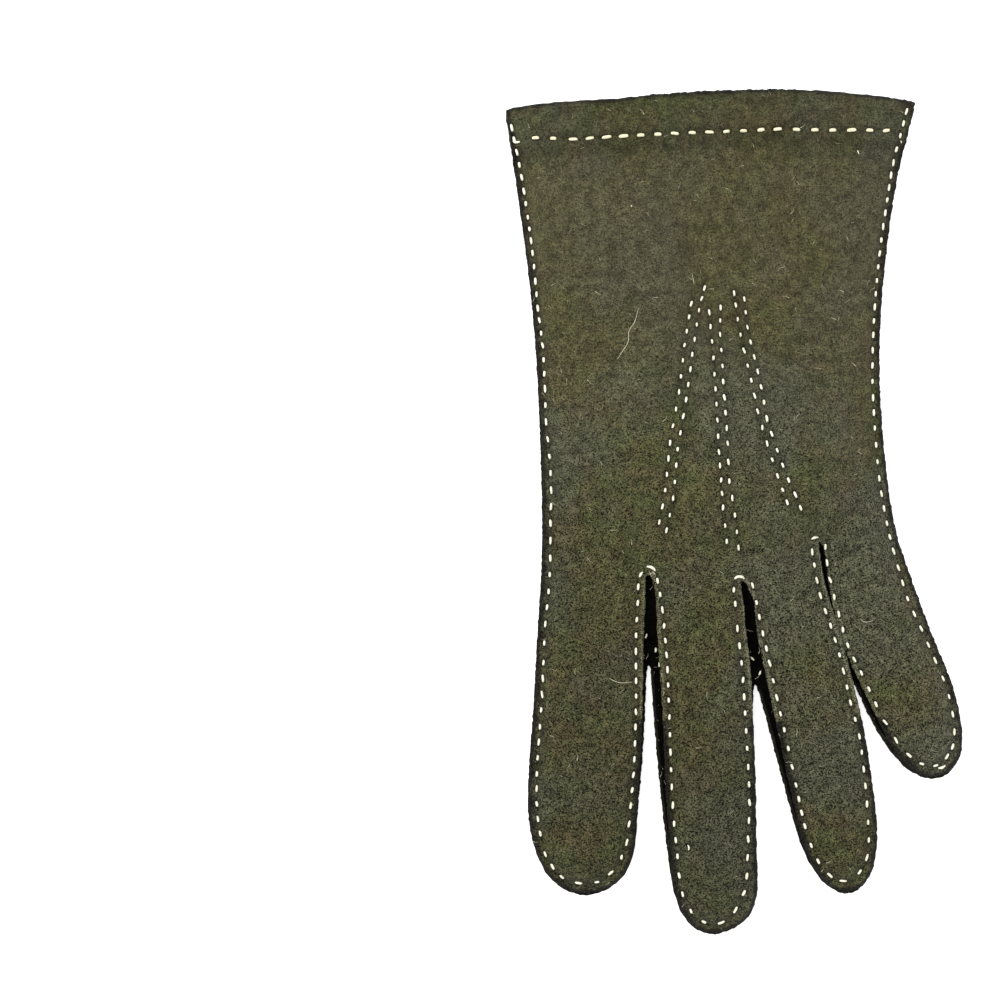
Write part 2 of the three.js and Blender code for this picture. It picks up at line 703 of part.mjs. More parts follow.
const THUMB_STATIONS = 15;
const THUMB_SIDES = 14;
const THUMB_LEAST = 0.4; // half width and height that its hollow keeps at both ends
const THUMB_ENDS = 60; // the hollow's ends lie in from the thumb's own by the inset over this
const FLATNESS = 3.2; // of the thumb's section: 2 is an ellipse, and more is flatter
const HOLE_STATIONS = 9;

// The thumb's middle in the plan, and a column of its table, both by the share of the way from its root.
const thumbMiddle = planCurve(THUMB);
function thumbColumn(name) {
  const steps = THUMB.map((row, i) => ({ ...row, at: i / (THUMB.length - 1) }));
  return curveOf(steps, "at", name);
}

// The thumb's shape, made smaller by inset on every side.
function thumbSolid(inset) {
  const [half, low, high] = ["half", "low", "high"].map(thumbColumn);
  const inward = inset / THUMB_ENDS;
  const points = [];
  for (let j = 0; j <= THUMB_STATIONS; j++) {
    const at = mix(inward, 1 - inward, j / THUMB_STATIONS);
    const centre = thumbMiddle.getPoint(at);
    const tangent = thumbMiddle.getTangent(at);
    const width = Math.max(THUMB_LEAST, half(at) - inset);
    const bottom = low(at) + inset;
    const top = Math.max(bottom + THUMB_LEAST, high(at) - inset);
    for (let i = 0; i < THUMB_SIDES; i++) {
      const angle = (i / THUMB_SIDES) * 2 * Math.PI;
      const power = (value) => Math.sign(value) * Math.abs(value) ** (2 / FLATNESS);
      const across = width * power(Math.cos(angle));
      const up = (power(Math.sin(angle)) + 1) / 2;
      const height = mix(bottom, top, up);
      points.push(new THREE.Vector3(centre.x + tangent.y * across, centre.y - tangent.x * across, height));
    }
  }
  const triangles = [];
  for (let j = 0; j < THUMB_STATIONS; j++)
    for (let i = 0; i < THUMB_SIDES; i++) {
      const [a, b] = [j * THUMB_SIDES + i, j * THUMB_SIDES + ((i + 1) % THUMB_SIDES)];
      const [c, d] = [a + THUMB_SIDES, b + THUMB_SIDES];
      triangles.push([a, c, b], [b, c, d]);
    }
  const end = THUMB_STATIONS * THUMB_SIDES;
  for (let i = 1; i + 1 < THUMB_SIDES; i++) triangles.push([0, i, i + 1], [end, end + i + 1, end + i]);
  return solidOf(meshGeometry(points, triangles));
}

// The outline of the thumb's hole, grown by a distance.
function holeOutline(grow) {
  const half = thumbColumn("half");
  const end = (HOLE_ROWS + HOLE_END) / (THUMB.length - 1);
  const [left, right] = [[], []];
  for (let j = 0; j <= HOLE_STATIONS; j++) {
    const share = j / HOLE_STATIONS;
    const at = end * share;
    const centre = thumbMiddle.getPoint(at);
    const tangent = thumbMiddle.getTangent(at);
    const round = clamp((share - 1 + HOLE_ROUND) / HOLE_ROUND);
    const width = (half(at) - CLOTH) * Math.sqrt(1 - HOLE_CLOSING * round ** 2) + grow;
    const onward = (j === HOLE_STATIONS ? grow : 0) - (j === 0 ? grow : 0);
    const [x, y] = [centre.x + tangent.x * onward, centre.y + tangent.y * onward];
    left.push({ x: x + tangent.y * width, y: y - tangent.x * width });
    right.push({ x: x - tangent.y * width, y: y + tangent.x * width });
  }
  return [...left, ...right.reverse()];
}

const back = panelGeometry("back");
const palm = panelGeometry("palm");

const holeSolid = prism(holeOutline(0), BELOW, OPEN_TOP);
const palmSolid = solidOf(palm.geometry).subtract(holeSolid);

const belowPalm = underPalm(palm.surface, SEAM_GAP);
const lipLayer = belowPalm.subtract(underPalm(palm.surface, SEAM_GAP + CLOTH));
const lipRing = lipLayer.intersect(prism(holeOutline(THUMB_LIP), BELOW, OPEN_TOP)).subtract(holeSolid);
const thumbShell = thumbSolid(0).intersect(belowPalm).add(lipRing);
const throat = prism(holeOutline(0), THUMB_HEIGHT - 1, OPEN_TOP);
const thumb = thumbShell.subtract(thumbSolid(CLOTH)).subtract(throat);

// The glove

const cloth = (color) => new THREE.MeshStandardMaterial({ color, roughness: 0.95, metalness: 0 });
const OLIVE = 0x504e3a;
const OLIVE_SHADED = 0x3c3b2c;

const glove = new THREE.Group();

function piece(name, geometry, color) {
  const faceted = geometry.index ? geometry.toNonIndexed() : geometry;
  faceted.computeVertexNormals();
  const mesh = new THREE.Mesh(faceted, cloth(color));
  mesh.name = name;
  glove.add(mesh);
}

piece("back_panel", back.geometry, OLIVE);
piece("palm_panel", geometryOf(palmSolid), OLIVE);
["index_middle", "middle_ring", "ring_little"].forEach((pair, i) => {
  piece(`fourchette_${pair}`, forkGeometry(i), OLIVE_SHADED);
});
piece("thumb", geometryOf(thumb), OLIVE);

// The origin is under the middle of the glove, on the surface that it lies on.
const box = new THREE.Box3().setFromObject(glove);
const centre = box.getCenter(new THREE.Vector3());
glove.position.set(-centre.x, -centre.y, -box.min.z);

export default glove;
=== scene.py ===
# %% [markdown]
# # A cotton driving glove, lying on its palm
#
# This lesson dresses one hand-sewn cotton glove in Blender. Its pieces of cloth come from the CAD model,
# which says where each one is and how thick it is. Here they get smooth surfaces, sewn seams, thread and a
# finish. Every length is in metres, so `MM` turns millimetres into metres.

# %% The frame
import math
import random

import bmesh
import bpy
import numpy as np
from mathutils import Matrix, Vector
from mathutils.bvhtree import BVHTree
from mathutils.kdtree import KDTree


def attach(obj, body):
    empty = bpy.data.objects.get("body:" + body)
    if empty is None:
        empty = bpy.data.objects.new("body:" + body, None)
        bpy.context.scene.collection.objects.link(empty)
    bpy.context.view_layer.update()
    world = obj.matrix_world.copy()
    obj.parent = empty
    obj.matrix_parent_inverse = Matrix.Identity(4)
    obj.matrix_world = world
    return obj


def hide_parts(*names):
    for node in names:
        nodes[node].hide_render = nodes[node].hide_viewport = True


MM = 0.001
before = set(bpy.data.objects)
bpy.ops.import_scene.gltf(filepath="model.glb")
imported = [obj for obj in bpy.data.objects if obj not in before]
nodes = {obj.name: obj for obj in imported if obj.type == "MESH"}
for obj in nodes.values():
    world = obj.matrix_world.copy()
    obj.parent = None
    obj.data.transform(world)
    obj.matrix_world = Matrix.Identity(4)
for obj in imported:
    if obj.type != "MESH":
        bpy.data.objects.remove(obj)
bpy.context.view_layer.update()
print("CAD pieces:", ", ".join(sorted(nodes)))

# %% [markdown]
# ## The camera
#
# The photograph looks straight down, and the glove lies to the right of its middle. The camera hangs 320 mm
# over the middle of the picture, so the glove is off centre here too. Its lens is chosen so that a pixel of
# the photograph is 0.26 mm wide at the height of the glove's edges.

# %% Camera
CAMERA_HEIGHT = 320 * MM
PICTURE_MIDDLE = (-60.6 * MM, 4.2 * MM)
LENS, SENSOR = 43.84, 36
PICTURE = 1000

camera_data = bpy.data.cameras.new("photo_camera")
camera_data.sensor_width = SENSOR
camera_data.lens = LENS
camera_data.clip_start = 10 * MM
camera = bpy.data.objects.new("photo_camera", camera_data)
camera.location = (*PICTURE_MIDDLE, CAMERA_HEIGHT)
bpy.context.collection.objects.link(camera)
bpy.context.scene.camera = camera
print("A pixel on the table is", round(CAMERA_HEIGHT / MM * SENSOR / LENS / PICTURE, 3), "mm wide")


def through(px, py):
    """The way from the camera through a pixel of the photograph."""
    spread = SENSOR / LENS / PICTURE
    return Vector(((px - PICTURE / 2) * spread, (PICTURE / 2 - py) * spread, -1))


def on_table(px, py):
    """The place on the table that shows at a pixel of the photograph."""
    return camera.location + through(px, py) * CAMERA_HEIGHT


# %% [markdown]
# ## The table and the light
#
# A catalogue picture of a glove has a white background and no shadow, because the glove lies on a light
# table. A white world lights it from all sides, and one large soft lamp to the upper left gives the stitches
# and the edges a little shape. The view transform is Standard, so that white stays white.

# %% Table and light
TABLE_SIZE = 3
WHITE = (1, 1, 1, 1)
LAMP_PLACE = Vector((-0.35, 0.30, 0.75))
LAMP_SIZE = 0.6
LAMP_POWER = 5.1
scene = bpy.context.scene
scene.view_settings.view_transform = "Standard"

bpy.ops.object.select_all(action="DESELECT")
bpy.ops.mesh.primitive_plane_add(size=TABLE_SIZE)
table = bpy.context.object
table.name = "table"

world = bpy.data.worlds.new("white_room")
world.use_nodes = True
world.node_tree.nodes["Background"].inputs["Color"].default_value = WHITE
world.node_tree.nodes["Background"].inputs["Strength"].default_value = 1.0
scene.world = world

lamp_data = bpy.data.lights.new("soft_lamp", "AREA")
lamp_data.shape = "SQUARE"
lamp_data.size = LAMP_SIZE
lamp_data.energy = LAMP_POWER
lamp = bpy.data.objects.new("soft_lamp", lamp_data)
lamp.location = LAMP_PLACE
lamp.rotation_euler = (-LAMP_PLACE).to_track_quat("-Z", "Y").to_euler()
bpy.context.collection.objects.link(lamp)
print("Lamp", round(LAMP_PLACE.length, 2), "m from the glove")

# %% [markdown]
# ## Finer cloth from the CAD pieces
#
# Each piece of cloth is a closed shell about a millimetre thick. A copy of the CAD mesh is merged, its
# triangles are paired into squares, and a Subdivision Surface modifier rounds it, which also rounds the cut
# edges as cloth is. It could be draped as a simulation, but this glove lies flat and its shape is known.

# %% Copying a piece of cloth
SAME_PLACE = 0.0001 * MM
PAIR_ANGLE = math.radians(60)
CLOTH_LEVELS = 2


def fine_copy(node, name):
    """A smooth, finer copy of a CAD node."""
    mesh = nodes[node].data.copy()
    mesh.name = name
    mesh.materials.clear()
    work = bmesh.new()
    work.from_mesh(mesh)
    bmesh.ops.remove_doubles(work, verts=work.verts, dist=SAME_PLACE)
    bmesh.ops.join_triangles(
        work, faces=work.faces, angle_face_threshold=PAIR_ANGLE, angle_shape_threshold=PAIR_ANGLE
    )
    work.to_mesh(mesh)
    work.free()
    piece = bpy.data.objects.new(name, mesh)
    bpy.context.collection.objects.link(piece)
    bpy.ops.object.select_all(action="DESELECT")
    bpy.context.view_layer.objects.active = piece
    piece.select_set(True)
    smooth = piece.modifiers.new("smooth", "SUBSURF")
    smooth.levels = CLOTH_LEVELS
    smooth.render_levels = CLOTH_LEVELS
    bpy.ops.object.modifier_apply(modifier=smooth.name)
    bpy.ops.object.shade_smooth()
    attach(piece, "root")
    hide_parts(node)
    return piece


back = fine_copy("back_panel", "glove_back")
palm = fine_copy("palm_panel", "glove_palm")
gussets = [
    fine_copy("fourchette_index_middle", "gusset_index_middle"),
    fine_copy("fourchette_middle_ring", "gusset_middle_ring"),
    fine_copy("fourchette_ring_little", "gusset_ring_little"),
]
thumb = fine_copy("thumb", "glove_thumb")
cloth = [back, palm, *gussets, thumb]
for piece in cloth:
    print(piece.name, len(piece.data.vertices), "points")

# %% [markdown]
# ## Fuller fingertips
#
# Rounding draws a coarse outline in, most of all at the fingertips, which are broad and blunt on the real
# glove. Each tip is let out again with a soft push in the plan. The same push moves all the pieces, so they
# stay as far apart as they were. The slits of the back and the webs between the fingers get pushes of their
# own, because rounding moved those edges too. Each row of the tables is one push: the pixel of the photograph
# where it is strongest, its way in the plan, how far it goes and how far it reaches, both in millimetres.

# %% The pushes
PUSHES = [
    ((590, 893), (-0.1, -1), 0.3, 9),
    ((552, 876), (-0.7, -0.7), 0.9, 9),
    ((622, 872), (0.8, -0.6), 1.0, 9),
    ((530, 800), (-1, 0), 0.5, 14),
    ((752, 915), (0.8, -0.6), 2.3, 9),
    ((758, 885), (1, 0), 0.8, 8),
    ((683, 922), (-0.8, -0.6), 0.7, 7),
    ((868, 882), (0.7, -0.7), 1.1, 8),
    ((825, 890), (-0.6, -0.8), 0.2, 7),
    ((958, 752), (0.8, -0.6), 1.5, 8),
    ((918, 775), (-0.2, -1), 0.9, 9),
    ((610, 100), (0, -1), 0.8, 14),
    ((790, 95), (0, 1), 0.4, 18),
]
SLIT_PUSHES = [
    ((650, 594), (1, 0), 0.65, 7),
    ((749, 598), (1, 0), 1.0, 5),
    ((757, 655), (1, 0), 0.4, 14),
    ((820, 550), (1, 0), 0.6, 5),
]
WEB_PUSHES = [
    ((650, 679), (0, 1), 3.0, 7),
    ((757, 677), (0.2, -1), 3.3, 7),
]
print("pushes:", len(PUSHES), "at the outline,", len(SLIT_PUSHES), "at slits,", len(WEB_PUSHES), "at webs")

# %% Letting out
def read_points(piece, what="co"):
    """The places or the normals of a piece's points."""
    values = np.empty(len(piece.data.vertices) * 3)
    piece.data.vertices.foreach_get(what, values)
    return values.reshape(-1, 3)


def write_points(piece, points):
    """Moves a piece's points to new places."""
    piece.data.vertices.foreach_set("co", points.ravel())
    piece.data.update()


def let_out(piece, pushes):
    """Pushes the piece's points along the table, by how near they are to each push's middle."""
    points = read_points(piece)
    start = points[:, :2].copy()
    for pixel, way, amount, reach in pushes:
        middle = on_table(*pixel)
        gap = np.hypot(start[:, 0] - middle.x, start[:, 1] - middle.y)
        share = np.exp(-((gap / (reach * MM)) ** 2)) * amount * MM / math.hypot(*way)
        points[:, :2] += share[:, None] * np.array(way)
    write_points(piece, points)


for piece in cloth:
    let_out(piece, PUSHES)
let_out(back, SLIT_PUSHES)
for piece in [palm, *gussets]:
    let_out(piece, WEB_PUSHES)
print("back's plan is", [round(float(size) / MM, 1) for size in np.ptp(read_points(back), axis=0)[:2]], "mm")

# %% [markdown]
# ## Where the cut edges run
#
# All the seams follow the cut edges, so the edge of each sheet is found first: it is the line where the faces
# turn from looking up to looking down. It is then cut into even steps. The line's edges are kept in a
# dictionary, which hands them out in the same order each run, as a set doesn't.

# %% Finding the cut edges
STEP = 0.5 * MM


def rim_loops(piece):
    """The closed lines round a sheet's cut edges, longest first, each as an array of points."""
    work = bmesh.new()
    work.from_mesh(piece.data)
    work.normal_update()
    rim = {}
    for edge in work.edges:
        looks_up = [face.normal.z > 0 for face in edge.link_faces]
        if len(looks_up) == 2 and looks_up[0] != looks_up[1]:
            rim[edge] = True
    loops = []
    while rim:
        edge, _ = rim.popitem()
        first, here = edge.verts
        line = [first.co.copy()]
        while here is not first:
            line.append(here.co.copy())
            following = next((other for other in here.link_edges if other in rim), None)
            if following is None:
                break
            del rim[following]
            here = following.other_vert(here)
        if here is first:
            loops.append(np.array(line))
    work.free()
    return sorted(loops, key=length_of, reverse=True)


def length_of(line, closed=True):
    """The length of a line of points."""
    ends = np.roll(line, -1, axis=0) if closed else line[1:]
    starts = line if closed else line[:-1]
    return float(np.linalg.norm(ends - starts, axis=1).sum())


def resample(line, step, closed=False):
    """The same line in even steps."""
    points = np.vstack([line, line[:1]]) if closed else np.asarray(line)
    along = np.concatenate([[0], np.cumsum(np.linalg.norm(np.diff(points, axis=0), axis=1))])
    count = max(2, round(along[-1] / step))
    places = np.linspace(0, along[-1], count + 1)
    if closed:
        places = places[:-1]
    return np.column_stack([np.interp(places, along, points[:, axis]) for axis in range(points.shape[1])])


def turned_left(line):
    """The same closed line, running with the sheet on its left."""
    x, y = line[:, 0], line[:, 1]
    area = np.sum(x * np.roll(y, -1) - np.roll(x, -1) * y)
    return line if area > 0 else line[::-1]


def surface_of(piece):
    """A piece's surface, for finding where a ray meets it."""
    mesh = piece.data
    places = [point.co for point in mesh.vertices]
    return BVHTree.FromPolygons(places, [face.vertices for face in mesh.polygons])


def tree_of(points):
    """The points of a line in the plan, for finding the nearest one."""
    tree = KDTree(len(points))
    for number, point in enumerate(points):
        tree.insert((point[0], point[1], 0), number)
    tree.balance()
    return tree


def nearest(tree, points):
    """How far each point is from a line in the plan, and the number of the line's nearest point."""
    found = [tree.find((x, y, 0)) for x, y in points[:, :2]]
    return np.array([hit[2] for hit in found]), np.array([hit[1] for hit in found])


def seen_at(surface, px, py):
    """The place of a surface that shows at a pixel of the photograph."""
    place = surface.ray_cast(camera.location, through(px, py))[0]
    if place is None:
        raise ValueError(f"nothing shows at pixel {px}, {py}")
    return place


plain_back = surface_of(back)
back_rim = turned_left(resample(rim_loops(back)[0], STEP, closed=True))
palm_loops = rim_loops(palm)
palm_rim = turned_left(resample(palm_loops[0], STEP, closed=True))
thumb_hole = turned_left(resample(palm_loops[1], STEP, closed=True))
for name, line in [("back", back_rim), ("palm", palm_rim), ("thumb hole", thumb_hole)]:
    print(name, "edge is", round(length_of(line) / MM), "mm round")

# %% [markdown]
# ## The lines of stitches
#
# The outseam runs from one cuff corner round all four fingers to the other one. It is the cut edge moved
# inwards, by 1 to 3 mm, so that it passes through stitches whose pixels were read off the photograph. The
# cuff has no cut edge, because its cloth is folded in, and its hem is held by a row of its own.

# %% Seam lines
SEAM_PLACES = {
    "left side": [
        (511.7, 128), (522, 177.4), (527.9, 216), (532.9, 252.8), (537.8, 308), (542.8, 344),
        (545.2, 389.2), (546, 421.5), (549.9, 456.1), (551.6, 489.9), (550.5, 522.7),
        (550.5, 557.3), (549, 591.5), (545.3, 624),
    ],
    "index finger": [
        (543.7, 662), (537, 774), (540.8, 834.2), (544.5, 854.2), (553.3, 867.2), (562, 878.3),
        (578.7, 883), (596.7, 883), (610.5, 873), (621.7, 857), (627.5, 842.5), (630.8, 806.3),
        (633.7, 774.7), (636.3, 696.5), (636, 650.6), (637, 619), (638, 587),
    ],
    "middle finger": [
        (657.4, 580.7), (660.4, 595.3), (664.4, 625.3), (667, 654.8), (669, 700.7), (672, 787),
        (674.3, 823.8), (678, 857.5), (682.3, 894.5), (691.3, 911.3), (704.5, 922.5),
        (721.8, 923.3), (735, 910), (743.8, 894.3), (747.3, 875.8), (748.5, 838.8), (750, 801.8),
        (745.4, 713.7), (741.9, 663.6), (737.7, 629), (735.1, 603.3), (734, 589.7),
    ],
    "ring finger": [
        (756.3, 603), (760, 617.8), (763.5, 634), (770.3, 664.6), (777, 697.5), (785, 731),
        (796.5, 785.5), (805.3, 827), (811.8, 845.8), (818.8, 862.5), (830, 876), (843.8, 881),
        (859.3, 872), (868, 858.3), (868.3, 821.8), (866, 787), (860, 736), (850.8, 703.4),
        (840.3, 656), (831.2, 625.4), (820.4, 595.3), (815.2, 565.6), (811.3, 551.4),
    ],
    "little finger": [
        (824.6, 547.5), (830.7, 580.6), (839.3, 614), (847.8, 645.4), (862, 672.5), (876.7, 705),
        (896.3, 740.4), (909.3, 755.4), (922.2, 764), (946.8, 756.5), (953.5, 746.3),
        (955.2, 731.6), (949.6, 696.6), (936, 661.5),
    ],
    "right side": [
        (922, 629), (908, 600), (894.2, 551.9), (887.2, 522.1), (879.6, 479), (875.2, 427.6),
        (872.9, 381.9), (873.7, 335), (877.3, 280.7), (881.7, 239.9), (887.8, 199.7), (894, 161.6),
        (906.3, 112),
    ],
}
PALM_DEPTH = 1.7 * MM
HEADING_REACH = 3
DEPTH_REACH = 5
seam_pixels = [pixel for stretch in SEAM_PLACES.values() for pixel in stretch]
seam_places = np.array([seen_at(plain_back, *pixel) for pixel in seam_pixels])


def depths_through(rim, places):
    """How far in from each point of the cut edge a seam lies that runs through some places."""
    gaps, numbers = nearest(tree_of(rim), places)
    order = np.argsort(numbers)
    return np.interp(np.arange(len(rim)), numbers[order], gaps[order], period=len(rim))


def smooth_closed(values, reach):
    """Each value's mean with its neighbours on both sides, on a closed line."""
    return sum(np.roll(values, shift, axis=0) for shift in range(-reach, reach + 1)) / (2 * reach + 1)


def moved_in(rim, distance):
    """A closed line moved to its left."""
    flat = rim[:, :2]
    heading = smooth_closed(np.roll(flat, -1, axis=0) - np.roll(flat, 1, axis=0), HEADING_REACH)
    heading /= np.linalg.norm(heading, axis=1, keepdims=True)
    left = np.column_stack([-heading[:, 1], heading[:, 0]])
    return flat + left * np.reshape(distance, (-1, 1))


def cuff_corners(rim):
    """The two numbers of the points at the cuff's left and right corners."""
    return int(np.argmax(rim[:, 1] - rim[:, 0])), int(np.argmax(rim[:, 1] + rim[:, 0]))


def split_at_cuff(rim, line):
    """The line from the left corner round the fingers to the right one, and the rest, along the cuff."""
    left, right = cuff_corners(rim)
    turned = np.roll(line, -left, axis=0)
    count = (right - left) % len(line)
    return turned[: count + 1], turned[count:]


seam_depths = smooth_closed(depths_through(back_rim, seam_places), DEPTH_REACH)
back_seam, _ = split_at_cuff(back_rim, moved_in(back_rim, seam_depths))
palm_seam, _ = split_at_cuff(palm_rim, moved_in(palm_rim, PALM_DEPTH))
_, back_cuff = split_at_cuff(back_rim, back_rim[:, :2])
print("outseam is", np.round([seam_depths.min() / MM, seam_depths.max() / MM], 1), "mm in from the cut edge")
for name, line in [("outseam", back_seam), ("cuff", back_cuff)]:
    print(name, "is", round(length_of(line, closed=False) / MM), "mm long")

# %% [markdown]
# ## The points and the hem
#
# The three raised lines on the back are called points. Each is a small fold of the cloth held by a thread
# that goes from side to side through it, so it shows as two rows whose stitches take turns. The rows and the
# hem's row are drawn through places read off the photograph.

# %% Rows on the back
POINT_ROWS = [
    [
        (691.6, 302.4), (684.5, 345), (679.3, 391.3), (670.4, 442), (665.5, 490), (659.3, 523.3),
    ],
    [
        (705, 286.6), (698.9, 310.3), (692.1, 353.7), (686, 400), (677.8, 449.7), (673.1, 498.6),
        (666.3, 531.8),
    ],
    [
        (709.4, 311.2), (712.1, 341.1), (714.4, 373.7), (716.8, 404), (719.1, 451.4),
        (723.2, 507.7), (727, 542.7),
    ],
    [
        (720.9, 306.2), (720, 333.8), (723.2, 381.9), (727.9, 443.5), (729.1, 480.5),
        (738.8, 548.8),
    ],
    [
        (734.4, 291.6), (737.9, 318.5), (744.3, 350.8), (757.8, 410.9), (767.2, 443.2),
        (777.2, 474.9), (787.5, 503.6),
    ],
    [
        (744.4, 297.7), (747.3, 326.2), (754.3, 356.7), (766.9, 418.3), (777.2, 450),
        (788.4, 479.9), (801, 508.9),
    ],
]
HEM_ROW = [
    (533.7, 137.8), (572.7, 139.3), (623.5, 135.8), (691.6, 132.6), (778.1, 129), (832.6, 130),
    (888, 130.5),
]


def row_through(pixels):
    """A row in the plan through places of the photograph, in even steps."""
    return resample(np.array([seen_at(plain_back, *pixel)[:2] for pixel in pixels]), STEP)


point_rows = [row_through(pixels) for pixels in POINT_ROWS]
hem_row = row_through(HEM_ROW)
ridges = []
for left, right in zip(point_rows[0::2], point_rows[1::2]):
    count = min(len(left), len(right))
    ridges.append((left[-count:] + right[-count:]) / 2)
ridge_places = np.vstack(ridges)
print("points are", [round(length_of(row, False) / MM) for row in point_rows], "mm long")

# %% [markdown]
# ## Where each stitch goes
#
# Hand stitches are never quite even. Each one is a middle, a heading and a length, and the random numbers
# that vary them start from a fixed seed, so that every run sews the same glove.

# %% Placing stitches
SEAM_STITCH = 1.4 * MM
HEM_STITCH = 1.75 * MM
POINT_STITCH = 1.2 * MM
PALM_PITCH = 4.1 * MM
HEM_PITCH = 4.58 * MM
POINT_PITCH = 4.0 * MM
SEAM_PITCHES = ((-10 * MM, 4.35 * MM), (80 * MM, 3.4 * MM))
WANDER = 0.06 * MM
SWERVE = 0.09
LENGTH_RANGE = (0.75, 1.2)
TACK_ROOM = 2.7 * MM
TACKS = [(649.6, 567.5), (641.5, 574.5), (739, 577.4), (814.7, 537.8)]

random.seed(11)


def seam_pitch(y):
    """The outseam's stitches lie closer together towards the cuff."""
    return np.interp(y, *zip(*SEAM_PITCHES))


def distances(line):
    """How far along a line each of its points is."""
    return np.concatenate([[0], np.cumsum(np.linalg.norm(np.diff(line, axis=0), axis=1))])


def marks_through(line, places, pitch):
    """Marks at a line's nearest points to some places, and in even steps of about a pitch between them."""
    along = distances(line)
    spots = sorted(along[nearest(tree_of(line), np.array(places))[1]])
    marks = [spots[0]]
    for low, high in zip(spots, spots[1:]):
        count = round((high - low) / pitch(np.interp((low + high) / 2, along, line[:, 1])))
        marks += [low + (high - low) * step / count for step in range(1, count + 1)]
    return marks


def stitch_places(line, marks, length, skip=()):
    """Each stitch's middle, heading and length along a line."""
    along = distances(line)
    places = []
    for mark in marks:
        here = mark + random.gauss(0, WANDER)
        ends = [np.clip(here + way * length / 2, 0, along[-1]) for way in (-1, 1)]
        (ax, ay), (bx, by) = [[np.interp(end, along, line[:, axis]) for axis in (0, 1)] for end in ends]
        x, y = (ax + bx) / 2, (ay + by) / 2
        heading = math.atan2(by - ay, bx - ax) + random.gauss(0, SWERVE)
        size = length * random.uniform(*LENGTH_RANGE)
        if all(math.hypot(x - other[0], y - other[1]) > TACK_ROOM for other in skip):
            places.append((x, y, heading, size))
    return places


def stitches_through(row, pixels, pitch, length):
    """A row's stitches, at places of the photograph and in even steps between them."""
    places = [seen_at(plain_back, *pixel) for pixel in pixels]
    return stitch_places(row, marks_through(row, places, lambda y: pitch), length)


def evenly(line, start=0):
    """Marks along a line, one pitch of the palm's stitches apart."""
    return np.arange(start, distances(line)[-1], PALM_PITCH)


tack_places = [seen_at(plain_back, *pixel) for pixel in TACKS]
seam_marks = marks_through(back_seam, seam_places, seam_pitch)
seam_stitches = stitch_places(back_seam, seam_marks, SEAM_STITCH, tack_places)
palm_stitches = stitch_places(palm_seam, evenly(palm_seam, start=2 * MM), SEAM_STITCH)
hem_stitches = stitches_through(hem_row, HEM_ROW, HEM_PITCH, HEM_STITCH)
point_stitches = []
for row, pixels in zip(point_rows, POINT_ROWS):
    point_stitches += stitches_through(row, pixels, POINT_PITCH, POINT_STITCH)
print("stitches:", len(seam_stitches), "outseam,", len(point_stitches), "points,", len(hem_stitches), "hem")

# %% [markdown]
# ## Room for fine relief
#
# Thread pulls cloth down over a width of about a millimetre, so the mesh needs steps of about half a
# millimetre beside each row. Only the faces near a row and on the outer side are divided again.

# %% Dividing the cloth near its seams
SEAM_BAND = 3.4 * MM
ROW_BAND = 2.2 * MM
TURNED_AWAY = -0.3
OUTER = 1
UNDER = -1


def gap_to(line, points):
    """How far each point is from a line in the plan."""
    return nearest(tree_of(line), points)[0]


def divide_near(piece, lines, side):
    """Halves the edges of a piece's outer faces that lie near some lines, each with its own reach."""
    points, normals = read_points(piece), read_points(piece, "normal")
    near = np.zeros(len(points), bool)
    for line, reach in lines:
        near |= gap_to(line, points) < reach
    near &= normals[:, 2] * side > TURNED_AWAY
    work = bmesh.new()
    work.from_mesh(piece.data)
    edges = [edge for edge in work.edges if near[edge.verts[0].index] and near[edge.verts[1].index]]
    bmesh.ops.subdivide_edges(work, edges=edges, cuts=1, use_grid_fill=True)
    work.to_mesh(piece.data)
    work.free()


divide_near(back, [(back_rim, SEAM_BAND), (ridge_places, 2 * ROW_BAND), (hem_row, ROW_BAND)], OUTER)
divide_near(palm, [(palm_rim, SEAM_BAND), (hem_row, ROW_BAND)], UNDER)
for piece in (back, palm):
    piece.data.calc_loop_triangles()
    print(piece.name, len(piece.data.loop_triangles), "triangles")

# %% [markdown]
# ## The relief of sewn cloth
#
# Each stitch makes a dimple, and the cloth bulges a little between two stitches, which gives a hand-sewn edge
# its small scallops. The cloth's middle is hardly ever flat either, so the back also gets low, wide waves.
# All of it is added to the heights of the points, with the outer face alone for what the thread does.

# %% Waves and dents
WIDE_WAVES = 0.3 * MM
CLOSE_WAVES = 0.1 * MM
DENT_LENGTH = 1.25 * MM
DENT_WIDTH = 0.62 * MM
GATHER_WIDTH = 1.7 * MM


def ease(values, low, high):
    """From 0 below low to 1 above high, smoothly."""
    share = np.clip((values - low) / (high - low), 0, 1)
    return share * share * (3 - 2 * share)


def bump(values, width):
    """A round bump of height 1."""
    return np.exp(-((values / width) ** 2))


def waves(points):
    """Low waves over the whole cloth, some centimetres long, with shorter ones on them."""
    x, y = points[:, 0] / MM, points[:, 1] / MM
    wide = np.sin(x / 6.1 + 0.9 * np.sin(y / 13.7)) * np.sin(y / 8.3 + 1.3 * np.sin(x / 17.9 + 0.6))
    close = np.sin(x / 2.7 + 1.1 * np.sin(y / 5.9) + 2) * np.sin(y / 3.4 + np.sin(x / 4.7))
    return WIDE_WAVES * wide + CLOSE_WAVES * close


def from_stitches(points, places):
    """How far each point is along and across from its nearest stitch's middle, and that stitch's length."""
    middles = np.array(places)[nearest(tree_of(places), points)[1]]
    dx, dy = points[:, 0] - middles[:, 0], points[:, 1] - middles[:, 1]
    along = dx * np.cos(middles[:, 2]) + dy * np.sin(middles[:, 2])
    across = np.sqrt(np.maximum(np.hypot(dx, dy) ** 2 - along**2, 0))
    return along, across, middles[:, 3]


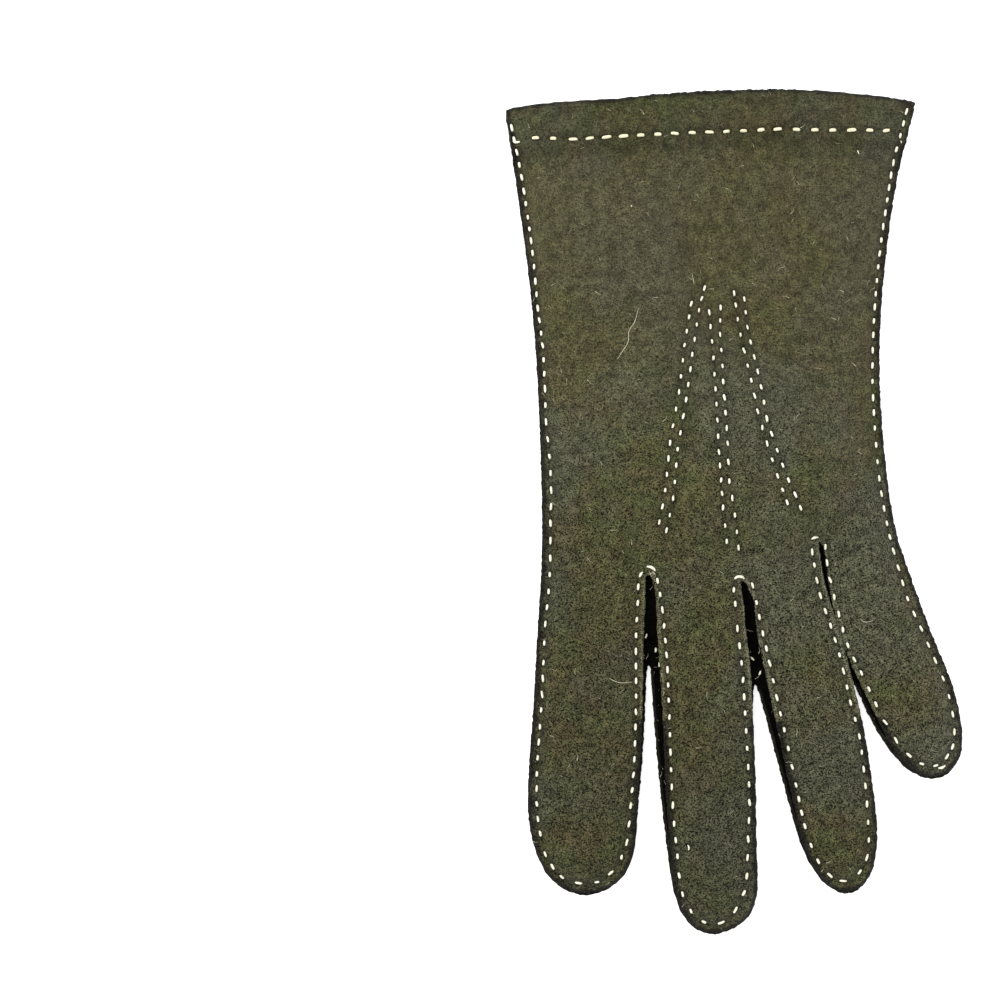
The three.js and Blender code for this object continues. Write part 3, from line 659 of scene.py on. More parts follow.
def dents(points, places, pitch, deep, pull):
    """What a row's thread does to the cloth: a dent under each stitch, and a gather that fades beside it."""
    along, across, _ = from_stitches(points, places)
    dent = deep * bump(along, DENT_LENGTH) * bump(across, DENT_WIDTH)
    gather = pull * 0.5 * (1 + np.cos(2 * np.pi * np.clip(along / pitch, -0.5, 0.5)))
    fading = np.exp(-across / GATHER_WIDTH) * ease(pitch * 0.75 - np.abs(along), 0, 1 * MM)
    return -(dent + gather * fading)


def sewn(points, line, places, pitch, groove, width, deep, pull):
    """A sewn row's relief, in millimetres: a groove (or a ridge, if it is negative), dents and gathers."""
    height = -groove * MM * bump(gap_to(line, points), width * MM)
    return height + dents(points, places, pitch, deep * MM, pull * MM)


print("waves:", np.round(np.ptp(waves(read_points(back))) / MM, 1), "mm from low to high")

# %% [markdown]
# ## Edges and slits
#
# A cut edge is never quite straight. It is let out by a fifth of a millimetre, less where a slit between two
# fingers gapes, and made a little ragged. `EDGE_SHIFTS` gives a pixel, how much more the edge goes out there,
# and how far that reaches, both in millimetres. `SLITS` gives pixels along each slit, whose cloth is paler.

# %% Edges and slits
LET_OUT = 0.2
RAGGED, FINE_RAGGED = 0.13, 0.07
SLIT_NEAR, SLIT_FAR = 3.5 * MM, 6 * MM
EDGE_SHIFTS = [
    ((752, 612), -0.3, 7),
    ((823, 562), -0.35, 4),
    ((836, 630), 0.4, 8),
]
SLITS = [
    [(648, 575), (651, 640), (651, 700)],
    [(745, 583), (755, 640), (762, 700)],
    [(819, 545), (832, 600), (852, 664), (862, 695)],
]


def shifted_edge(rim):
    """How far each point of the back's cut edge is let out, in millimetres: less where a slit gapes."""
    amounts = np.full(len(rim), LET_OUT)
    for pixel, more, reach in EDGE_SHIFTS:
        middle = on_table(*pixel)
        amounts += more * bump(np.hypot(rim[:, 0] - middle.x, rim[:, 1] - middle.y), reach * MM)
    return amounts


def in_slit(points):
    """1 for points beside a slit between two fingers, and 0 for those 6 mm away."""
    lines = [resample(np.array([on_table(*pixel)[:2] for pixel in pixels]), STEP) for pixels in SLITS]
    return 1 - ease(gap_to(np.vstack(lines), points), SLIT_NEAR, SLIT_FAR)


edge_out = shifted_edge(back_rim)
print("the back's edge goes out by", np.round([edge_out.min(), edge_out.max()], 2), "mm")

# %% Shaping the back and the palm
OUTSEAM_PITCH = 4.2 * MM
FACING_UP = (0.05, 0.6)
EDGE_WIDTH = (0.1 * MM, 1.3 * MM)
EDGE_ROUNDING = 0.25 * MM
HEM_RISE = 0.4 * MM
HEM_HOLLOW = 0.2 * MM


def shape(piece, rim, side, amounts, lift, outer):
    """Lets the edge out by amounts, raises all points by lift, and the outer side's by outer as well."""
    points, normals = read_points(piece), read_points(piece, "normal")
    away, number = nearest(tree_of(rim), points)
    inward = moved_in(rim, 1.0)[number] - rim[number, :2]
    outside = ease(normals[:, 2] * side, *FACING_UP)
    ragged = RAGGED * np.sin(number * 0.83) * np.sin(number * 0.31 + 1) + FINE_RAGGED * np.sin(number * 1.9)
    share = 1 - ease(away, *EDGE_WIDTH)
    points[:, :2] += inward * ((ragged - amounts[number]) * MM * share)[:, None]
    points[:, 2] += lift(points, away)
    points[:, 2] += side * outside * outer(points, away)
    write_points(piece, points)
    return away


def back_lift(points, away):
    """The back's waves, which die out towards the seams."""
    return waves(points) * ease(away, 3 * MM, 13 * MM)


def back_outer(points, away):
    """The back's outer face: three kinds of sewn rows, a rounded cut edge and the raised band of the hem."""
    height = sewn(
        points, back_seam, seam_stitches, OUTSEAM_PITCH, groove=0.2, width=0.7, deep=0.28, pull=0.16
    )
    height += sewn(
        points, ridge_places, point_stitches, POINT_PITCH, groove=-0.3, width=0.8, deep=0.26, pull=0.12
    )
    height += sewn(points, hem_row, hem_stitches, HEM_PITCH, groove=0.25, width=0.8, deep=0.26, pull=0.2)
    rounding = EDGE_ROUNDING * (1 - ease(away, 0, 0.9 * MM))
    cuff = gap_to(back_cuff, points)
    band = HEM_RISE * (1 - ease(cuff, 9.6 * MM, 12.5 * MM)) * ease(cuff, 0, 3 * MM)
    hollow = HEM_HOLLOW * bump(cuff - 13 * MM, 2 * MM)
    return height - rounding + band - hollow


def palm_lift(points, away):
    """The palm lies flat on the table."""
    return 0


def palm_outer(points, away):
    """The palm's outer face: the outseam and the hem."""
    height = sewn(points, palm_seam, palm_stitches, PALM_PITCH, groove=0.15, width=0.7, deep=0.25, pull=0.1)
    return height + sewn(points, hem_row, hem_stitches, HEM_PITCH, groove=0.3, width=1.1, deep=0.3, pull=0.1)


back_away = shape(back, back_rim, OUTER, edge_out, back_lift, back_outer)
palm_away = shape(palm, palm_rim, UNDER, np.full(len(palm_rim), LET_OUT), palm_lift, palm_outer)
print("back is now", [round(float(size) / MM, 1) for size in np.ptp(read_points(back), axis=0)], "mm")

# %% [markdown]
# ## Painted shade and wear that the colour follows
#
# The hem's band is darker, painted shade lies in the grooves of the seams and the points and over the cuff's
# fold, a painted shadow lies under the hem and beside each stitch, the fingers are darker and worn rougher
# than the cuff, and the cloth is browner near the cuff. Such things follow the sewing, so each point gets
# four
# numbers that the material reads: how far in from the cut edge it is, how much painted shade and darkening it
# has, how strongly its nap shows and how warm its colour is.

# %% Painted shade and wear
FARTHEST_IN = 12
PLAIN_NAP = 0.9
# How much the cloth is darkened: painted shadow under the hem and beside each stitch, painted shade over the
# cuff's fold and in the grooves of the seams and the points, and a darker hem band. Slit edges are paler.
HEM_BAND_DARKENING, HEM_PAINTED_SHADOW, FOLD_PAINTED_SHADE = 0.12, 0.3, 0.2
SEAM_PAINTED_SHADE, POINT_PAINTED_SHADE, STITCH_SHADOW = 0.15, 0.12, 0.65
SLIT_CLEAN = 0.4
FINGER_SHADE, HAND_SHADE = 0.82, 1.02
FINGER_NAP, CUFF_NAP = 2.1, 0.8
CUFF_WARMTH = 0.4
SHADOW_WIDTH = 0.75 * MM


def keep(piece, name, values):
    """Stores one number for each point of a piece, which its material can read."""
    piece.data.attributes.new(name, "FLOAT", "POINT").data.foreach_set("value", values)


def under_stitch(points, places):
    """1 for points right beside a stitch, and less from there."""
    along, across, lengths = from_stitches(points, places)
    return bump(np.hypot(np.maximum(np.abs(along) - lengths / 2, 0), across), SHADOW_WIDTH)


def back_shade(points):
    """How much the back's cloth is darkened: painted shade and shadow where less light falls, and darker
    bands.
    """
    cuff = gap_to(back_cuff, points)
    up_the_hand = (points[:, 0] * 0.9 + points[:, 1]) / MM
    shade = FINGER_SHADE + (HAND_SHADE - FINGER_SHADE) * ease(up_the_hand, -90, 0)
    hem_band_darkening = HEM_BAND_DARKENING * (1 - ease(cuff, 9 * MM, 10.5 * MM))
    # Painted shadow in a band just under the hem's row.
    shade *= 1 - hem_band_darkening - HEM_PAINTED_SHADOW * bump(cuff - 12.3 * MM, 2.4 * MM)
    # Painted shade where the cloth turns over the cuff's fold.
    shade *= 1 - FOLD_PAINTED_SHADE * (1 - ease(cuff, 0, 4.5 * MM))
    # Painted shade in the grooves of the outseam and of the points.
    seam_painted_shade = SEAM_PAINTED_SHADE * bump(gap_to(back_seam, points), 0.9 * MM)
    point_painted_shade = POINT_PAINTED_SHADE * bump(gap_to(np.vstack(point_rows), points), 0.8 * MM)
    shade *= 1 - seam_painted_shade - point_painted_shade
    shade *= 1 + SLIT_CLEAN * in_slit(points) * bump(gap_to(back_rim, points), 0.7 * MM)
    # Painted shadow beside each stitch.
    return shade * (1 - STITCH_SHADOW * under_stitch(points, seam_stitches + point_stitches + hem_stitches))


back_points = read_points(back)
up = back_points[:, 1]
# Beside the slits the edge number is raised, so that the cut edge's dark band and painted shade are left off.
keep(back, "edge", np.clip(back_away / MM + 2 * in_slit(back_points), 0, FARTHEST_IN))
keep(back, "shade", back_shade(back_points))
keep(back, "nap", FINGER_NAP + (CUFF_NAP - FINGER_NAP) * ease(up, -50 * MM, 70 * MM))
keep(back, "warmth", CUFF_WARMTH * ease(up, 20 * MM, 70 * MM) * (1 - ease(up, 86 * MM, 98 * MM)))
keep(palm, "edge", np.clip(palm_away / MM, 0, FARTHEST_IN))
for piece in cloth[1:]:
    count = len(piece.data.vertices)
    keep(piece, "shade", np.ones(count))
    keep(piece, "nap", np.full(count, PLAIN_NAP))
    if piece is not palm:
        keep(piece, "edge", np.full(count, float(FARTHEST_IN)))
print("the back keeps", ", ".join(kept.name for kept in back.data.attributes if kept.data_type == "FLOAT"))

# %% [markdown]
# ## One stitch, modelled once
#
# The thread is thick, waxed cotton, about two thirds of a millimetre across. A stitch that shows is a short
# stretch of it that comes out of the cloth, arches over it and goes back in. It starts as a short cylinder,
# and both ends are drawn out and down with extrusions that get thinner. All the other stitches are copies.

# %% The stitch
THREAD = 0.68 * MM
STITCH = 2 * MM
MIDDLE_SHARE = 0.4
# Each step: how far out, as a share of STITCH, how far down, as a share of THREAD, and how thin.
END_STEPS = [
    (0.16, -0.05, 0.92),
    (0.15, -0.16, 0.85),
    (0.09, -0.22, 0.7),
]


def make_stitch():
    """A stitch along X whose middle lies at the origin, with ends that sink."""
    bpy.ops.object.select_all(action="DESELECT")
    bpy.ops.mesh.primitive_cylinder_add(
        vertices=8, radius=THREAD / 2, depth=STITCH * MIDDLE_SHARE, rotation=(0, math.pi / 2, 0)
    )
    stitch = bpy.context.object
    bpy.ops.object.transform_apply(location=False, rotation=True, scale=True)
    bpy.ops.object.mode_set(mode="EDIT")
    bpy.ops.mesh.select_mode(type="FACE")
    for way in (-1, 1):
        bpy.ops.mesh.select_all(action="DESELECT")
        work = bmesh.from_edit_mesh(stitch.data)
        end = max(work.faces, key=lambda face: face.calc_center_median().x * way)
        end.select_set(True)
        bmesh.update_edit_mesh(stitch.data)
        for forward, down, thinner in END_STEPS:
            move = (way * forward * STITCH, 0, down * THREAD)
            bpy.ops.mesh.extrude_region_move(TRANSFORM_OT_translate={"value": move})
            end = next(face for face in bmesh.from_edit_mesh(stitch.data).faces if face.select)
            bpy.ops.transform.resize(value=(1, thinner, thinner), center_override=end.calc_center_median())
    bpy.ops.object.mode_set(mode="OBJECT")
    bpy.ops.object.shade_smooth()
    return stitch


model_stitch = make_stitch()
print("one stitch:", len(model_stitch.data.polygons), "faces")
print("it is", round(model_stitch.dimensions.x / MM, 2), "mm long")

# %% [markdown]
# ## Sewing
#
# Each stitch is laid on the finished surface of its cloth. A ray finds the height under both of its ends, so
# it leans with the cloth. The copies of one row are joined, which makes each row one piece.

# %% Laying stitches on the cloth
FAR = 60 * MM
PROUD = 0.1 * MM
FLOOR_GAP = 0.03 * MM
SHOWN_SHARE = 0.95
THICKNESS_RANGE = (0.9, 1.08)


def height_at(surface, x, y, side):
    """The height of a surface, met from above or from underneath."""
    place = surface.ray_cast(Vector((x, y, side * FAR)), Vector((0, 0, -side)))[0]
    return None if place is None else place.z


def copy_of(model, placing):
    """A copy of a model with its own mesh, put in its place."""
    copy = model.copy()
    copy.data = model.data.copy()
    copy.data.transform(placing)
    bpy.context.collection.objects.link(copy)
    return copy


def joined(copies, name):
    """The copies as one piece."""
    bpy.ops.object.select_all(action="DESELECT")
    for copy in copies:
        copy.select_set(True)
    bpy.context.view_layer.objects.active = copies[0]
    bpy.ops.object.join()
    piece = bpy.context.object
    piece.name = piece.data.name = name
    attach(piece, "root")
    return piece


def sew(name, places, surface, side=OUTER, width=1.0):
    """Copies of the stitch at all the places, joined as one piece."""
    copies = []
    for x, y, heading, length in places:
        reach = Vector((math.cos(heading), math.sin(heading), 0)) * length / 2
        heights = [height_at(surface, x + way * reach.x, y + way * reach.y, side) for way in (-1, 0, 1)]
        if None in heights:
            continue
        along = Vector((reach.x * 2, reach.y * 2, heights[2] - heights[0])).normalized()
        up = (Vector((0, 0, side)) - along * along.z * side).normalized()
        turn = Matrix((along, up.cross(along), up)).transposed().to_4x4()
        middle = Vector((x, y, sum(heights) / 3 + side * PROUD))
        thick = width * random.uniform(*THICKNESS_RANGE)
        size = Matrix.Diagonal((length / STITCH / SHOWN_SHARE, thick, thick, 1))
        copies.append(copy_of(model_stitch, Matrix.Translation(middle) @ turn @ size))
    row = joined(copies, name)
    points = read_points(row)
    points[:, 2] = np.maximum(points[:, 2], FLOOR_GAP)
    write_points(row, points)
    return row


sewn_back, sewn_palm = surface_of(back), surface_of(palm)
rows = [
    sew("stitches_outseam", seam_stitches, sewn_back),
    sew("stitches_points", point_stitches, sewn_back, width=0.9),
    sew("stitches_hem", hem_stitches, sewn_back, width=1.3),
    sew("stitches_outseam_palm", palm_stitches, sewn_palm, UNDER),
    sew("stitches_hem_palm", hem_stitches, sewn_palm, UNDER, width=1.2),
]
print("sewn:", ", ".join(row.name for row in rows))

# %% [markdown]
# ## The gussets and the thumb
#
# The strips between the fingers are sewn to the palm with the same thread, which shows from above only where
# the back doesn't cover it. The thumb is a pouch folded under the palm, with a seam along its outer edge.

# %% Stitches on the gussets and the thumb
THUMB_DEPTH = 1.8 * MM
# Each stitch that shows: its pixel, and its heading in radians.
GUSSET_STITCHES = {
    "gusset_index_middle": [((646, 636), 1.2), ((655.8, 650), 1.5), ((659.3, 664.8), 1.6)],
    "gusset_middle_ring": [((752.4, 658.7), -0.8), ((759.9, 673), 1.2)],
}
GUSSET_STITCH = 1.0 * MM

for gusset in gussets:
    surface = surface_of(gusset)
    places = []
    for pixel, heading in GUSSET_STITCHES.get(gusset.name, []):
        place = surface.ray_cast(camera.location, through(*pixel))[0]
        if place is not None:
            places.append((place.x, place.y, heading, GUSSET_STITCH))
    if places:
        rows.append(sew("stitches_" + gusset.name, places, surface, width=0.8))
    print(gusset.name, "shows", len(places), "stitches")

thumb_rim = turned_left(resample(rim_loops(thumb)[0], STEP, closed=True))
thumb_seam = moved_in(thumb_rim, THUMB_DEPTH)
thumb_stitches = stitch_places(thumb_seam, evenly(thumb_seam), SEAM_STITCH)
rows.append(sew("stitches_thumb", thumb_stitches, surface_of(thumb), UNDER))
print("thumb seam", round(length_of(thumb_seam, False) / MM), "mm")

# %% [markdown]
# ## Bar tacks, knots and lint
#
# Each slit between two fingers ends in a bar tack, a crescent of thread that takes the strain. Brushed cotton
# also gathers lint, and this glove carries a few pale hairs. Each is a thin curve through places read off the
# photograph, lifted onto the cloth and turned into a mesh.

# %% Where the curved threads lie
TACK_CURVES = {
    "tack_index": [(646.9, 566.5), (650.7, 567), (653.4, 568.6), (655.2, 570.7)],
    "tack_index_side": [(639.6, 577), (640.6, 574.4), (642.6, 572)],
    "tack_middle": [(734.7, 578.7), (736.7, 577), (739.4, 576.5), (742.2, 577), (744.1, 578.5)],
    "tack_ring": [(811.5, 539), (814, 537.7), (818, 537.3)],
    "hem_corner": [(514, 137.6), (514.6, 142), (519.8, 141.8)],
    "fingertip_knot": [(938.4, 768.2), (941.6, 767.4), (945, 765.6)],
}
SPECKS = {
    "speck_index": [(631, 205.4), (631.9, 206.6)],
    "speck_wrist": [(857.6, 150.4), (858.8, 153.6)],
    "speck_side": [(901, 140.6), (901.4, 143)],
    "speck_finger": [(687.8, 845), (688.8, 847.4), (688.6, 850)],
}
HAIRS = {
    "hair_long": [(638.5, 308), (634.5, 322), (629, 331), (628, 342), (622, 352), (617.5, 359)],
    "hair_point": [(692.2, 274), (693.2, 280), (694, 284)],
    "hair_smile": [(860.6, 619.4), (862.8, 621.3), (867.2, 622), (872.8, 620.6)],
    "hair_crotch": [(609, 678.3), (614.4, 681), (622, 682.8), (632, 682)],
    "frayed_thread_left": [(648.6, 570.6), (650, 573.4), (651.6, 576.6)],
    "frayed_thread_right": [(652, 571), (654, 573), (655.6, 576)],
    "frayed_thread_across": [(649, 574), (652, 573), (655.6, 573.6)],
}
print("to lay:", ", ".join([*TACK_CURVES, *SPECKS, *HAIRS]))

# %% Laying curved threads
THIN_END = 0.55
END_DIP = 0.35
CURVE_STEPS = 5
TACK_THICK, TACK_LIFT = 0.72 * MM, 0.2 * MM
SPECK_THICK, SPECK_LIFT = 0.45 * MM, 0.12 * MM
HAIR_THICK, HAIR_LIFT = 0.17 * MM, 0.1 * MM


def lay_thread(name, pixels, thick, lift, surface):
    """A curved thread on a surface, with thin ends that dip."""
    curve = bpy.data.curves.new(name, "CURVE")
    curve.dimensions = "3D"
    curve.bevel_depth = thick / 2
    curve.bevel_resolution = 2
    curve.use_fill_caps = True
    places = [seen_at(surface, *pixel) for pixel in pixels]
    line = curve.splines.new("BEZIER")
    line.bezier_points.add(len(places) - 1)
    last = len(places) - 1
    for number, (point, place) in enumerate(zip(line.bezier_points, places)):
        at_end = number in (0, last)
        point.co = place + Vector((0, 0, lift - (END_DIP * thick if at_end else 0)))
        point.radius = THIN_END if at_end else 1
        point.handle_left_type = point.handle_right_type = "AUTO"
    line.resolution_u = CURVE_STEPS
    thread = bpy.data.objects.new(name, curve)
    bpy.context.collection.objects.link(thread)
    bpy.ops.object.select_all(action="DESELECT")
    bpy.context.view_layer.objects.active = thread
    thread.select_set(True)
    bpy.ops.object.convert(target="MESH")
    bpy.ops.object.shade_smooth()
    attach(bpy.context.object, "root")
    return bpy.context.object


def lay_all(curves, thick, lift):
    """All the threads of one table, laid on the back."""
    return [lay_thread(name, pixels, thick, lift, sewn_back) for name, pixels in curves.items()]


tacks = lay_all(TACK_CURVES, TACK_THICK, TACK_LIFT)
specks = lay_all(SPECKS, SPECK_THICK, SPECK_LIFT)
hairs = lay_all(HAIRS, HAIR_THICK, HAIR_LIFT)
print(len(tacks), "tacks,", len(specks), "specks and", len(hairs), "hairs")

# %% [markdown]
# ## Short fibres
#
# Brushing raises short ends of fibre all over the cloth, and a cut edge frays. One fibre is a thin cone that
# is bent once. Its copies lie spread over the back and the gussets, as pale fuzz beside the slits, and
# thickly along the cut edges of the back and the palm.

# %% One fibre
FIBRE = 1.0 * MM
FIBRE_RADIUS = 0.04 * MM
FIBRE_BEND = 0.5
random.seed(5)

bpy.ops.object.select_all(action="DESELECT")
bpy.ops.mesh.primitive_cone_add(
    vertices=3, radius1=FIBRE_RADIUS, radius2=0, depth=FIBRE, rotation=(0, math.pi / 2, 0)
)
model_fibre = bpy.context.object
bpy.ops.object.transform_apply(location=False, rotation=True, scale=True)
bpy.ops.object.mode_set(mode="EDIT")
bpy.ops.mesh.select_all(action="SELECT")
bpy.ops.mesh.subdivide(number_cuts=1)
bpy.ops.object.mode_set(mode="OBJECT")
for point in model_fibre.data.vertices:
    point.co.y += FIBRE_BEND * point.co.x**2 / FIBRE
print("one fibre has", len(model_fibre.data.polygons), "faces")

# %% Scattering fibres
FIBRE_LIFT = 0.05 * MM
ROOT_DEPTH = 0.35 * MM
ON_BACK, ON_GUSSET, IN_SLITS = 420, 90, 1000
ON_BACK_EDGE, ON_PALM_EDGE = 900, 500
LYING_SIZES, LYING_TILTS = (0.8, 2.4), (0, 0.25)
FRAYED_SIZES, FRAYED_SWERVE, FRAYED_TILT = (0.5, 1.2), 0.7, 0.4
DEEP_IN_SLIT = 0.9


def scatter_fibres(name, places, surface, side=OUTER):
    """Copies of the fibre at places (x, y, heading, size, tilt), joined as one piece."""
    copies = []
    for x, y, heading, size, tilt in places:
        height = height_at(surface, x, y, side)
        if height is None:
            continue
        place = Matrix.Translation((x, y, height + side * FIBRE_LIFT))
        turn = Matrix.Rotation(heading, 4, "Z") @ Matrix.Rotation(-side * tilt, 4, "Y")
        copies.append(copy_of(model_fibre, place @ turn @ Matrix.Scale(size, 4)))
    return joined(copies, name)


def spread_over(piece, count):
    """Fibres that lie at random over a piece's box in the plan."""
    low, high = read_points(piece).min(axis=0), read_points(piece).max(axis=0)
    places = []
    for _ in range(count):
        x, y = random.uniform(low[0], high[0]), random.uniform(low[1], high[1])
        heading = random.uniform(0, math.tau)
        places.append((x, y, heading, random.uniform(*LYING_SIZES), random.uniform(*LYING_TILTS)))
    return places


def fray(rim, count, numbers=None):
    """Fibres that stand out from a cut edge, or only from some of its points."""
    inner = moved_in(rim, ROOT_DEPTH)
    places = []
    for _ in range(count):
        number = random.choice(range(len(rim)) if numbers is None else numbers)
        out = rim[number, :2] - inner[number]
        heading = math.atan2(out[1], out[0]) + random.gauss(0, FRAYED_SWERVE)
        places.append((*inner[number], heading, random.uniform(*FRAYED_SIZES), random.gauss(0, FRAYED_TILT)))
    return places


slit_numbers = [int(number) for number in np.flatnonzero(in_slit(back_rim) > DEEP_IN_SLIT)]
lint = [
    scatter_fibres("fibres_pale", spread_over(back, ON_BACK), sewn_back),
    scatter_fibres("fibres_slits", fray(back_rim, IN_SLITS, slit_numbers), sewn_back),
]
for gusset in gussets:
    lint.append(scatter_fibres("fibres_" + gusset.name, spread_over(gusset, ON_GUSSET), surface_of(gusset)))
frayed = [
    scatter_fibres("fibres_edge_back", fray(back_rim, ON_BACK_EDGE), sewn_back),
    scatter_fibres("fibres_edge_palm", fray(palm_rim, ON_PALM_EDGE), sewn_palm, UNDER),
]
for model in (model_stitch, model_fibre):
    bpy.data.objects.remove(model)
print(sum(len(piece.data.polygons) for piece in lint), "faces of pale fibres")

# %% [markdown]
# ## Colours and nodes
#
# A colour is written as the sRGB hex value that a picture shows. Blender's shaders work with linear light, so
# one function turns it. Another small function adds a node with its settings and its links.

# %% Colour and node helpers
def colour(hex_value):
    """An sRGB hex colour as linear red, green, blue and 1."""
    shown = [int(hex_value[place : place + 2], 16) / 255 for place in (1, 3, 5)]
    linear = [part / 12.92 if part <= 0.04045 else ((part + 0.055) / 1.055) ** 2.4 for part in shown]
    return (*linear, 1)


def add(tree, kind, sockets=(), **settings):
    """Adds a node, sets it up, and fills or links its sockets, which are given by name or number."""
    node = tree.nodes.new(kind)
    for name, value in settings.items():
        setattr(node, name, value)
    for socket, value in dict(sockets).items():
        if isinstance(value, bpy.types.NodeSocket):
            tree.links.new(value, node.inputs[socket])
        else:
            node.inputs[socket].default_value = value
    return node


def new_material(name):
    """An empty material: its nodes and its shader."""
    material = bpy.data.materials.new(name)
    material.use_nodes = True
    return material, material.node_tree, material.node_tree.nodes["Principled BSDF"]


print("a middle olive is", [round(part, 3) for part in colour("#52513b")])

# %% [markdown]
# ## Brushed cotton: the dye
#
# The glove is plain-woven cotton whose face was brushed, so it is dull and soft. Olive dye took unevenly, so
# green, brown and grey patches of 5 to 20 mm mix over it. Two noises share them out: one 8 mm wide between
# green and brown, and one 24 mm wide for the grey. Near the cuff the cloth is browner.

# %% The dye
PATCHES = {"Scale": 1 / (8 * MM), "Detail": 4, "Roughness": 0.65}
WIDE_PATCHES = {"Scale": 1 / (24 * MM), "Detail": 2}
BROWN_SHARE = {"From Min": 0.38, "From Max": 0.62}
GREY_SHARE = {"From Min": 0.42, "From Max": 0.62, "To Max": 0.7}


def dye(tree, place, green, brown, grey):
    """The dyed colour: green and brown patches, greyer in wide places, and browner by the cuff."""
    patches = add(tree, "ShaderNodeTexNoise", {"Vector": place, **PATCHES}).outputs["Fac"]
    wide = add(tree, "ShaderNodeTexNoise", {"Vector": place, **WIDE_PATCHES}).outputs["Fac"]
    brown_share = add(tree, "ShaderNodeMapRange", {"Value": patches, **BROWN_SHARE}).outputs[0]
    grey_share = add(tree, "ShaderNodeMapRange", {"Value": wide, **GREY_SHARE}).outputs[0]
    warmth = add(tree, "ShaderNodeAttribute", attribute_name="warmth").outputs["Fac"]
    tone = colour(green)
    for share, shade in ((brown_share, brown), (grey_share, grey), (warmth, brown)):
        tone = add(tree, "ShaderNodeMix", {0: share, 6: tone, 7: colour(shade)}, data_type="RGBA").outputs[2]
    return tone


print("the brown's share is noise from", BROWN_SHARE["From Min"], "to", BROWN_SHARE["From Max"])

# %% [markdown]
# ## Brushed cotton: the grain
#
# The threads lie about 0.35 mm apart, and they are drawn 0.38 mm apart here, because a pixel is a quarter of
# a millimetre. Each way of the weave is a noise that is stretched along its threads. The nap is a finer noise
# over them, 0.2 mm wide, and its pale fibre ends and dark gaps are cells of 0.25 mm, which show best on the
# worn fingers.

# %% The grain
WEAVE = 0.38 * MM
THREAD_RUN = 1.5 * MM
THREAD_NOISE = {"Scale": 1.2, "Detail": 1}
NAP_NOISE = {"Scale": 1 / (0.2 * MM), "Detail": 2, "Roughness": 0.6}
NAP_SHARE = 1.6
SPECKLES = {"Scale": 1 / (0.25 * MM)}
SPECKLE_CURVE = 0.7
SPECKLE_MIDDLE = 0.6
DARK_GAP = (0.06, 0.055, 0, 1)
PALE_END = (1.69, 1.71, 1.84, 1)


def grain_of(tree, place):
    """The height of the threads and of the nap over them."""
    runs = []
    for scale in ((1 / WEAVE, 1 / THREAD_RUN, 1 / WEAVE), (1 / THREAD_RUN, 1 / WEAVE, 1 / WEAVE)):
        stretched = add(tree, "ShaderNodeMapping", {"Vector": place, "Scale": scale}).outputs[0]
        runs.append(add(tree, "ShaderNodeTexNoise", {"Vector": stretched, **THREAD_NOISE}).outputs["Fac"])
    weave = add(tree, "ShaderNodeMath", {0: runs[0], 1: runs[1]}, operation="ADD").outputs[0]
    nap = add(tree, "ShaderNodeTexNoise", {"Vector": place, **NAP_NOISE}).outputs["Fac"]
    return add(tree, "ShaderNodeMath", {0: nap, 1: NAP_SHARE, 2: weave}, operation="MULTIPLY_ADD").outputs[0]


def speckle_of(tree, place):
    """A factor for the colour in each small cell, from a dark gap to a pale fibre end."""
    cells = add(tree, "ShaderNodeTexVoronoi", {"Vector": place, **SPECKLES}).outputs["Color"]
    cell = add(tree, "ShaderNodeSeparateColor", {0: cells}).outputs[0]
    cell = add(tree, "ShaderNodeMath", {0: cell, 1: SPECKLE_CURVE}, operation="POWER").outputs[0]
    cell = add(tree, "ShaderNodeMath", {0: cell, 1: SPECKLE_MIDDLE}, operation="SUBTRACT").outputs[0]
    strength = add(tree, "ShaderNodeAttribute", attribute_name="nap").outputs["Fac"]
    share = {0: cell, 1: strength, 2: SPECKLE_MIDDLE}
    raised = add(tree, "ShaderNodeMath", share, operation="MULTIPLY_ADD").outputs[0]
    factors = {0: raised, 6: DARK_GAP, 7: PALE_END}
    return add(tree, "ShaderNodeMix", factors, data_type="RGBA").outputs[2]


print("threads", round(WEAVE / MM, 2), "mm apart, in runs of", round(THREAD_RUN / MM, 1), "mm")

# %% [markdown]
# ## Brushed cotton: light, dark and cut edges
#
# Small rubbed places about 3 mm wide are lighter or darker, and the painted shade and darkening kept on each
# point darken the cloth too. Along the cut edges the cloth is near black for about a millimetre, less where
# it
# is rubbed: partly the dense, worn edge's own colour and partly painted shade where the edge turns down.
# Cotton has hardly any gloss, so its roughness is high and its sheen low.

# %% The cloth's material
RUBBED = {"Scale": 1 / (2.6 * MM), "Detail": 2}
GRAIN_LIGHT = {"From Min": 1.46, "From Max": 2.1, "To Min": 0.62, "To Max": 1.33}
RUBBED_LIGHT = {"From Min": 0.35, "From Max": 0.65, "To Min": 0.76, "To Max": 1.24}
RUBBED_EDGE = 1.3
# The near-black band along the cut edge is partly the edge's own colour and partly painted shade where the
# edge turns down away from the light.
DARK_EDGE_AND_SHADE = {"From Min": 1.25, "From Max": 2.05, "To Min": 0.92, "To Max": 0}
GRAIN_RELIEF = {"Strength": 0.45, "Distance": 0.25 * MM}
CLOTH_ROUGHNESS = 0.92
SHEEN_ROUGHNESS = 0.6


